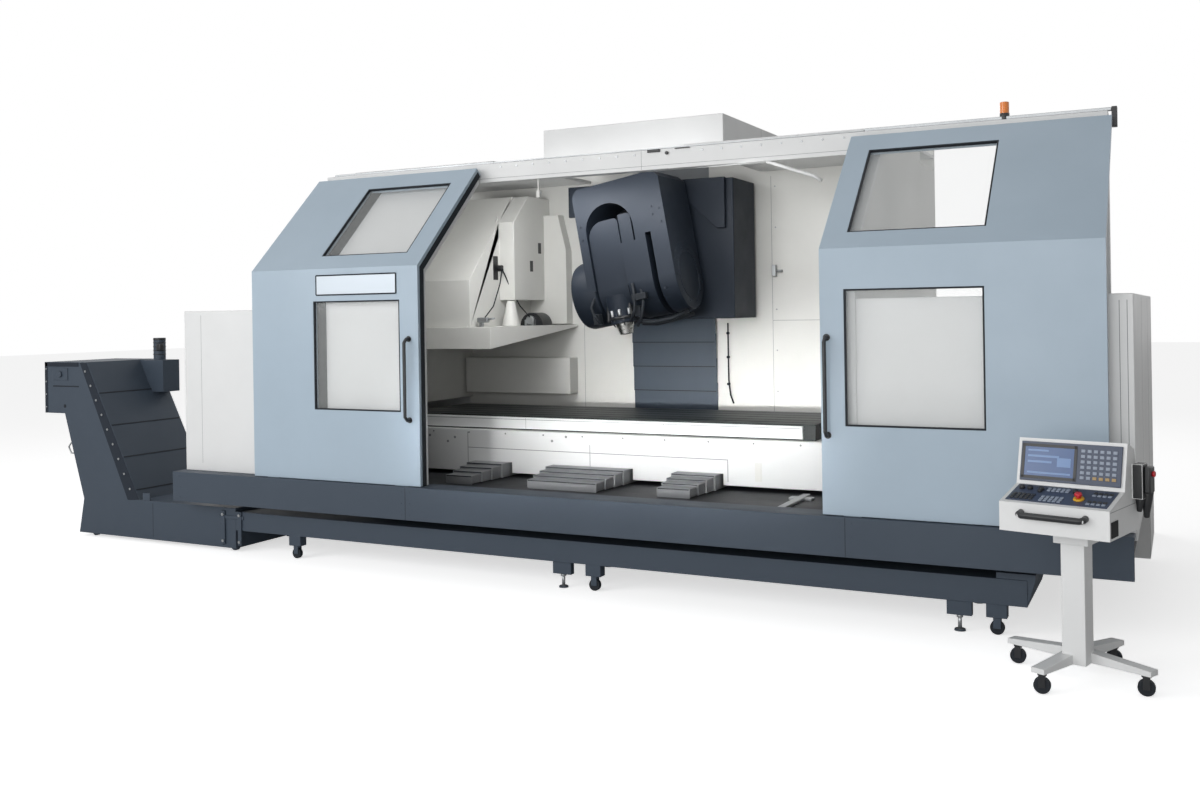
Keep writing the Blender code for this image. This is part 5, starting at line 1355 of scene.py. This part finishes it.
@dataclass
class Conveyor:
    """The chip conveyor and the coolant trough."""

    side_y: float = -2.060
    wheel_radius: float = 0.045
    wheel_half: float = 0.0175
    caster_xs: tuple[float, ...] = (-2.460, 0.490, 3.420)
    caster_ys: tuple[float, ...] = (-2.020, -1.240)
    foot_xs: tuple[float, ...] = (0.215, 3.185)
    # The incline's side flange and the trough's gusset, each an outline in x and z.
    flange: tuple[tuple[float, float], ...] = (
        (-5.178, 1.704), (-5.085, 1.704), (-4.384, 0.402), (-4.534, 0.392)
    )
    gusset: tuple[tuple[float, float], ...] = ((-3.46, 0.06), (-3.30, 0.06), (-3.30, 0.25), (-3.34, 0.25))
    # The lifting handle's line, in x and z.
    grip: tuple[tuple[float, float], ...] = (
        (-5.300, 0.90), (-5.400, 0.90), (-5.435, 0.86), (-5.400, 0.80), (-5.270, 0.79)
    )

    def build(self) -> None:
        """Dresses both, and adds the flanges, seams, feet and wheels."""
        rounded("conveyor_incline", DARK, bevel=0.004)
        rounded("coolant_trough", DARK, bevel=0.003)
        self.incline()
        self.junction()
        self.undercarriage()

    def incline(self) -> None:
        """The flanges, seams and fittings of the incline."""
        y = self.side_y
        flange = Form("incline_flange")
        for side, depth in ((y, -0.004), (y + 0.860, 0.004)):
            flange.slab(
                [(x, side, z) for x, z in self.flange],
                (0, depth, 0),
                0.001,
            )
        flange.box((-5.695, y - 0.003, 1.205), (-5.655, y, 1.705), 0.001)
        flange.box((-5.695, y - 0.003, 1.665), (-5.200, y, 1.705), 0.001)
        flange.place(HEAD)
        bolts = Form("incline_bolts")
        bolts.studs(row((-5.10, y - 0.004, 1.62), (-4.50, y - 0.004, 0.50), 9), FRONT, 0.011, 0.005)
        bolts.studs(row((-5.675, y - 0.003, 1.26), (-5.675, y - 0.003, 1.64), 4), FRONT, 0.008, 0.004)
        bolts.place(ZINC)
        # The top slopes from the head down to the foot, so its seams step down along it.
        top, foot = Vector((-5.080, 0, 1.710)), Vector((-4.380, 0, 0.400))
        normal = Vector((1.310, 0, 0.700)).normalized()
        seams = Form("incline_seams")
        for share in (0.23, 0.465, 0.695, 0.93):
            place = top.lerp(foot, share)
            seams.strip((place.x, y + 0.01, place.z), (place.x, y + 0.85, place.z), normal, 0.010, 0.004)
        seams.strip((-5.575, y, 1.470), (-5.200, y, 1.470), FRONT, 0.012, 0.002)
        seams.strip((-4.20, y, 0.06), (-4.20, y, 0.38), FRONT, 0.004, 0.0006)
        seams.studs([(-5.406, y, 1.273)], FRONT, 0.018, 0.002, 16)
        seams.place(DARK_SEAM)
        plate = Form("take_up_plate")
        plate.box((-5.575, y - 0.008, 1.530), (-5.356, y, 1.650), 0.003)
        plate.bar((-5.46, y - 0.008, 1.590), (-5.46, y - 0.026, 1.590), 0.030, bevel=0.003)
        plate.box((-4.330, y - 0.004, 0.401), (-4.234, y + 0.004, 0.470), 0.002)
        plate.place(DARK)
        grip = Form("conveyor_handle")
        grip.tube([(x, y + 0.06, z) for x, z in self.grip], 0.008)
        grip.place(ZINC)
        cap = Form("motor_cap")
        cap.bar((-4.915, -1.310, 1.905), (-4.915, -1.310, 1.9295), 0.062, bevel=0.004)
        for z in (1.76, 1.80, 1.84, 1.88):
            cap.ring((-4.915, -1.310, z), UP, 0.0605, 0.004, 28)
        cap.box((-4.870, -1.395, 1.80), (-4.815, -1.345, 1.87), 0.006)
        cap.place(PLASTIC)

    def junction(self) -> None:
        """The bracket and gusset where the conveyor meets the trough."""
        y = self.side_y
        joint = Form("conveyor_bracket")
        joint.box((-3.310, y - 0.016, 0.070), (-3.270, y, 0.372), 0.003)
        joint.box((-3.110, y - 0.016, 0.070), (-3.070, y, 0.372), 0.003)
        joint.box((-3.350, y - 0.010, 0.300), (-3.050, y, 0.330), 0.003)
        joint.slab([(x, y, z) for x, z in self.gusset], (0, -0.008, 0), 0.001)
        joint.place(DARK)
        bolts = Form("bracket_bolts")
        bolts.studs([(x, y - 0.016, z) for x in (-3.29, -3.09) for z in (0.10, 0.34)], FRONT, 0.013, 0.010)
        bolts.place(ZINC)

    def undercarriage(self) -> None:
        """The tyres, swivel plates, screws and foot pads under the trough."""
        tyres, forks, pads = Form("trough_tyres"), Form("trough_caster_plates"), Form("trough_foot_pads")
        for x in self.caster_xs:
            for y in self.caster_ys:
                self.wheel(tyres, x, y)
                forks.box((x - 0.065, y - 0.038, 0.112), (x + 0.065, y + 0.042, 0.201), 0.004)
                forks.box((x - 0.024, y - 0.026, 0.040), (x + 0.024, y - 0.0215, 0.116), 0.002)
                forks.box((x - 0.024, y + 0.0215, 0.040), (x + 0.024, y + 0.026, 0.116), 0.002)
        for x in self.foot_xs:
            for y in self.caster_ys:
                pads.bar((x, y, 0.0), (x, y, 0.014), 0.038, 0.030, 24)
                pads.bar((x, y, 0.012), (x, y, 0.104), 0.0128, sides=16)
                pads.bar((x, y, 0.088), (x, y, 0.1045), 0.022, sides=6)
        tyres.place(RUBBER)
        forks.place(DARK)
        pads.place(ZINC)

    def wheel(self, form: Form, x: float, y: float) -> None:
        """Adds a tyre round a packed wheel.

        Args:
            form: the piece that it joins.
            x: the wheel's place across.
            y: the wheel's place in depth.
        """
        reach, z = self.wheel_half + 0.0012, self.wheel_radius
        form.bar((x, y - reach, z), (x, y + reach, z), z + 0.0005, bevel=0.004)


@dataclass
class Console:
    """The free-standing operator console."""

    place: tuple[float, float] = (3.965, -2.832)
    turn: float = -14.7
    base_turn: float = -25.0
    base_back: float = 0.080
    reach: float = 0.385
    grip: tuple[Point, ...] = (
        (-0.172, -0.348, 0.990),
        (-0.172, -0.385, 0.984),
        (-0.155, -0.396, 0.980),
        (0.155, -0.396, 0.980),
        (0.172, -0.385, 0.984),
        (0.172, -0.348, 0.990),
    )

    @property
    def stand(self) -> Matrix:
        """The console's own frame on the floor."""
        return Matrix.Translation((*self.place, 0)) @ Matrix.Rotation(math.radians(self.turn), 4, "Z")

    def build(self) -> None:
        """Dresses the console."""
        rounded("console_box", WHITE, bevel=0.006)
        rounded("console_stand", WHITE, bevel=0.004)
        rounded("console_screen", GREY_PLASTIC, bevel=0.002)
        self.panel()
        self.desk()
        self.fittings()
        self.wheels()

    def panel(self) -> None:
        """The display and the key block in the upright panel."""
        local = self.stand @ Matrix.Translation((0, -0.07, 1.238)) @ Matrix.Rotation(-0.2302, 4, "X")
        y = -0.0123
        bezel = Form("display_bezel", local)
        for start, end in (
            ((-0.268, y, 0.090), (0.036, y, 0.090)),
            ((-0.268, y, -0.090), (0.036, y, -0.090)),
            ((-0.260, y, -0.098), (-0.260, y, 0.098)),
            ((0.030, y, -0.098), (0.030, y, 0.098)),
        ):
            bezel.strip(start, end, FRONT, 0.016, 0.003)
        bezel.place(PLASTIC)
        pane = Form("display_pane", local)
        pane.box((-0.252, y - 0.0012, -0.082), (0.022, y + 0.001, 0.082), 0.0005)
        pane.place(SCREEN)
        figures = Form("display_figures", local)
        for start, end, z, tall in (
            (-0.235, -0.120, 0.062, 0.010),
            (-0.235, -0.060, 0.030, 0.012),
            (-0.235, -0.100, -0.002, 0.012),
            (-0.070, 0.005, 0.000, 0.050),
            (-0.235, 0.005, -0.064, 0.010),
        ):
            figures.strip((start, y - 0.0012, z), (end, y - 0.0012, z), FRONT, tall, 0.0006)
        figures.place(FIGURE)
        keys, amber = Form("panel_keys", local), Form("amber_keys", local)
        for level, z in enumerate((0.074, 0.044, 0.014, -0.016, -0.046, -0.074)):
            for x in (0.070, 0.104, 0.138, 0.172, 0.206, 0.240):
                target = amber if level == 5 and x > 0.13 else keys
                target.box((x - 0.011, y - 0.004, z - 0.0085), (x + 0.011, y + 0.001, z + 0.0085), 0.0015)
        keys.place(KEY)
        amber.place(AMBER_KEY)

    def desk(self) -> None:
        """The keys, knobs and emergency stop on the sloping desk."""
        local = self.stand @ Matrix.Translation((0, -0.35, 1.04)) @ Matrix.Rotation(0.273, 4, "X")
        panel = Form("desk_panel", local).box((-0.272, 0.028, -0.001), (0.272, 0.246, 0.003), 0.001)
        panel.place(GREY_PLASTIC)
        keys, dark = Form("desk_keys", local), Form("desk_dark_keys", local)
        for x in (-0.246, -0.220, -0.194, -0.168, -0.142):
            for y in (0.060, 0.086, 0.112):
                dark.box((x - 0.010, y - 0.010, 0.002), (x + 0.010, y + 0.010, 0.008), 0.002)
        for x in (-0.085, -0.060, -0.035, -0.010, 0.015):
            for y in (0.052, 0.077, 0.102, 0.186, 0.211):
                keys.box((x - 0.0095, y - 0.0095, 0.002), (x + 0.0095, y + 0.0095, 0.008), 0.002)
        for x in (0.165, 0.192, 0.219, 0.246):
            for y in (0.060, 0.090, 0.170, 0.200):
                target = keys if y in (0.060, 0.170) else dark
                target.box((x - 0.010, y - 0.009, 0.002), (x + 0.010, y + 0.009, 0.008), 0.002)
        for x in (-0.235, -0.190, -0.127, 0.060):
            dark.bar((x, 0.190, 0.002), (x, 0.190, 0.020), 0.017, 0.014, 24, 0.002)
        dark.bar((-0.127, 0.164, 0.002), (-0.127, 0.164, 0.018), 0.013, 0.010, 24, 0.002)
        keys.place(KEY)
        dark.place(PLASTIC)
        stop = Form("emergency_stop_ring", local)
        stop.bar((0.103, 0.109, 0.002), (0.103, 0.109, 0.012), 0.030, 0.028, 32, 0.002)
        stop.place(YELLOW)
        button = Form("emergency_stop_button", local)
        button.bar((0.103, 0.109, 0.010), (0.103, 0.109, 0.026), 0.012, sides=24)
        button.bar((0.103, 0.109, 0.024), (0.103, 0.109, 0.042), 0.022, 0.018, 32, 0.005)
        button.place(RED)

    def fittings(self) -> None:
        """The handle, the painted shade of the side socket, and the hand pendant."""
        handle = Form("console_grip", self.stand)
        handle.tube(self.grip, 0.018, 14)
        handle.place(PLASTIC)
        # Painted shade: a thin black plate that stands for the shade inside the side socket.
        socket_shade = Form("console_socket_painted_shade", self.stand)
        socket_shade.box((0.294, -0.331, 0.894), (0.299, -0.223, 0.979), 0.002)
        socket_shade.place(SHADE_BLACK)
        shell = Form("hand_pendant", self.stand)
        shell.box((0.2955, 0.0185, 1.0585), (0.3520, 0.1115, 1.2515), 0.008)
        shell.bar((0.324, 0.066, 1.060), (0.318, 0.064, 0.985), 0.026, 0.012, 16, 0.003)
        shell.box((0.350, 0.040, 1.090), (0.384, 0.125, 1.235), 0.008)
        shell.bar((0.352, 0.095, 1.095), (0.345, 0.100, 0.950), 0.034, 0.014, 16, 0.004)
        shell.place(PLASTIC)
        button = Form("pendant_stop", self.stand)
        button.bar((0.383, 0.085, 1.195), (0.398, 0.085, 1.195), 0.016, bevel=0.004)
        button.place(RED)
        line = Form("console_seams", self.stand)
        for x, way in ((0.295, RIGHT), (-0.295, LEFT)):
            line.strip((x, -0.335, 1.030), (x, 0.120, 1.030), way, 0.003, 0.0004)
        line.place(SEAM)

    def wheels(self) -> None:
        """The tyres and forks of the four casters."""
        tyres, forks = Form("console_tyres"), Form("console_caster_forks")
        half, radius = 0.0175, 0.045
        for index in range(4):
            angle = math.radians(self.base_turn + 90 * index)
            x = self.place[0] + self.reach * math.cos(angle)
            y = self.place[1] + self.base_back + self.reach * math.sin(angle)
            reach = half + 0.0012
            tyres.bar((x, y - reach, radius), (x, y + reach, radius), radius + 0.0005, bevel=0.004)
            for side in (-1, 1):
                near = y + side * (half + 0.004)
                far = near + side * 0.004
                forks.box((x - 0.018, min(near, far), 0.035), (x + 0.018, max(near, far), 0.120), 0.001)
            forks.bar((x, y, 0.100), (x, y, 0.118), 0.026, bevel=0.002)
        tyres.place(RUBBER)
        forks.place(PLASTIC)


def main() -> None:
    """Builds the studio and each sub-assembly in order."""
    logging.basicConfig(level=logging.INFO, format="%(message)s")
    for part in (Studio(), Doors(), Enclosure(), Changer(), Feed(), Head(), Conveyor(), Console()):
        LOG.info("building %s", type(part).__name__)
        part.build()


if __name__ == "__main__":
    main()
